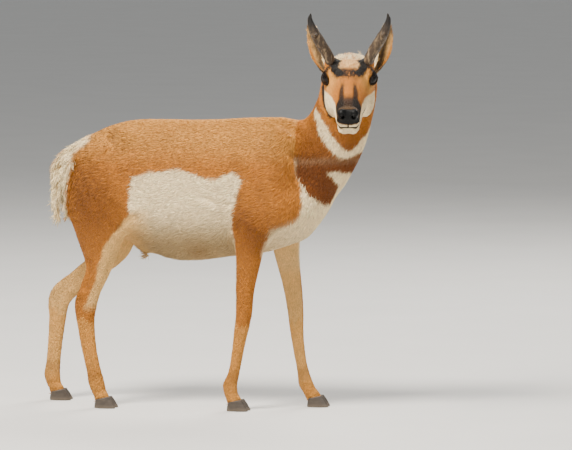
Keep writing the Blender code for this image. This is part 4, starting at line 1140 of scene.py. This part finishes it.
def add_eyes():
    """Dark wet eyeballs, each with a level pupil in a deep brown iris."""
    for name, side in (("left", 1), ("right", -1)):
        centre = to_packed(EYE_CENTRE * (1, side, 1))
        mesh = round_mesh(f"eyeball_{name}", Vector(centre), EYE_RADIUS - 0.0003)
        points = values_of(mesh.vertices, "co", 3)
        h = to_head(points + SHIFT)
        _, deep, rise, along = almond(h, side)
        colours = np.tile(EYEBALL, (len(points), 1))
        iris = np.hypot(along, rise * 1.05)
        paint(colours, IRIS, bump(iris - 0.0095, 0.0035) * (deep > 0))
        paint(colours, PUPIL, ramp(1 - np.hypot(along / 0.0075, rise / 0.0038), 0.2))
        set_colours(mesh, colours)
        place_piece(f"eyeball_{name}", mesh, "eye", "eye", f"eye_{name}")


def fine_copy(name, voxel, rounds):
    """A node's solid as an even fine mesh, with its facets melted."""
    piece = Skin(*arrays_of(remeshed(solid_copy([name], 0.0), voxel)))
    piece.points = relax(piece.points, piece.edges, rounds, 0.5)
    piece.update()
    return piece


def add_piece(name, piece, colours, material, node):
    mesh = new_mesh(name, piece.points, piece.faces)
    set_colours(mesh, np.clip(colours, 0, 1))
    place_piece(name, mesh, material, material, node)


def add_horns():
    """Ridged dark sheaths with black tips, knobbly and mottled towards the base."""
    for side in ("left", "right"):
        node = f"horn_{side}"
        piece = fine_copy(node, 0.0013, 10)
        m = piece.points + SHIFT
        low, high = m[:, 2].min(), m[:, 2].max()
        up = (m[:, 2] - low) / (high - low)
        streak = noise(m * (1, 1, 0.10), 0.0040, 21)
        knobs = noise(m * (1, 1, 0.6), 0.0090, 22)
        height = 0.0016 * bump(up - 0.45, 0.30)
        height = height + 0.0006 * streak + 0.0012 * knobs * (1 - up)
        piece.points = piece.points + piece.normals * height[:, None]
        piece.update()
        colours = np.tile(HORN_BROWN, (len(m), 1))
        mottle = 0.6 * (noise(m * (1, 1, 0.45), 0.0060, 23) + noise(m * (1, 1, 0.5), 0.0026, 24))
        pale = np.clip(0.6 * streak + 0.9 * mottle, 0, 0.80) * (1 - 0.7 * up)
        paint(colours, HORN_PALE, pale)
        paint(colours, HORN_TIP, ramp(up - 0.68, 0.35))
        # Painted shade in the sunk pits between the knobs.
        paint(colours, HORN_PIT_SHADE, 0.7 * np.clip(-knobs, 0, 1))
        add_piece(f"sheath_{side}", piece, colours, "horn", node)


def add_hooves():
    """Dark horn with faint growth rings, paler and worn towards the ground."""
    for node in sorted(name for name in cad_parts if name.startswith("hoof")):
        piece = fine_copy(node, 0.0011, 5)
        piece.points[:, 2] = np.maximum(piece.points[:, 2], 0.0)
        piece.update()
        m = piece.points + SHIFT
        rings = np.sin(m[:, 2] * 1500 + 2.0 * noise(m, 0.02, 40))
        tone = 1 + 0.10 * rings + 0.25 * noise(m, 0.008, 41)
        colours = np.array(HOOF) * tone[:, None]
        paint(colours, HOOF_WORN, 0.5 * ramp(0.008 - m[:, 2], 0.012))
        add_piece(node.replace("hoof", "toe"), piece, colours, "hoof", node)


# Stage

def add_floor():
    work = bmesh.new()
    bmesh.ops.create_grid(work, x_segments=24, y_segments=24, size=60.0)
    mesh = bpy.data.meshes.new("floor")
    work.to_mesh(mesh)
    work.free()
    mesh.materials.append(MATERIALS["floor"])
    made = new_object("floor", mesh)


def stand(made, place, way):
    """Sets a lamp or the camera at a place, facing a way."""
    made.location = place
    made.rotation_mode = "QUATERNION"
    made.rotation_quaternion = way.to_track_quat("-Z", "Y")


def add_lamp(name, place, aim, size, power, colour):
    light = bpy.data.lights.new(name, "AREA")
    light.shape = "DISK"
    light.size = size
    light.energy = power
    light.color = colour
    stand(new_object(name, light), Vector(place), Vector(aim) - Vector(place))


def add_lights():
    middle = (0.1, 0.0, 0.6)
    add_lamp("key", (-1.6, -3.0, 5.4), middle, 2.2, 900, WARM_LIGHT)
    add_lamp("fill", (4.4, -4.2, 2.4), middle, 3.5, 130, SOFT_LIGHT)
    add_lamp("back", (0.8, 4.2, 4.4), middle, 3.0, 300, SOFT_LIGHT)
    world = bpy.data.worlds.new("studio")
    bpy.context.scene.world = world
    world.use_nodes = True
    sky = world.node_tree.nodes["Background"]
    sky.inputs["Color"].default_value = SKY
    sky.inputs["Strength"].default_value = 0.45


def add_camera():
    away = Vector((math.sin(AZIMUTH) * math.cos(ELEVATION), -math.cos(AZIMUTH) * math.cos(ELEVATION),
                   math.sin(ELEVATION)))
    camera = bpy.data.cameras.new("camera")
    camera.sensor_width = SENSOR
    camera.lens = SENSOR * DISTANCE / VIEW_WIDTH
    camera.clip_end = 200
    made = new_object("camera", camera)
    stand(made, Vector(AIM) - Vector(SHIFT) + away * DISTANCE, -away)
    bpy.context.scene.camera = made


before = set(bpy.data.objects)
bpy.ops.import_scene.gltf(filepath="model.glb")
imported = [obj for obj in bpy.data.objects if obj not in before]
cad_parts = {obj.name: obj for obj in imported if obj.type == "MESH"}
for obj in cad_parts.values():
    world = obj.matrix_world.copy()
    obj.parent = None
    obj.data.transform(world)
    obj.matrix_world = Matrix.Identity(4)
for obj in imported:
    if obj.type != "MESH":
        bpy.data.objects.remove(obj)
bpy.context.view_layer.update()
AXES = head_axes()
SHIFT = packed_shift(AXES)
MATERIALS = make_materials()

skin = make_skin()
skin.map = unwrap(skin)
corner = [skin.points[skin.faces[:, k]] for k in range(3)]
skin.areas = np.linalg.norm(np.cross(corner[1] - corner[0], corner[2] - corner[0]), axis=1) / 2
skin.lie = coat_lie(skin)
add_skin_object(skin)
grow_coat(skin)
add_eyes()
add_horns()
add_hooves()
add_floor()
add_lights()
add_camera()
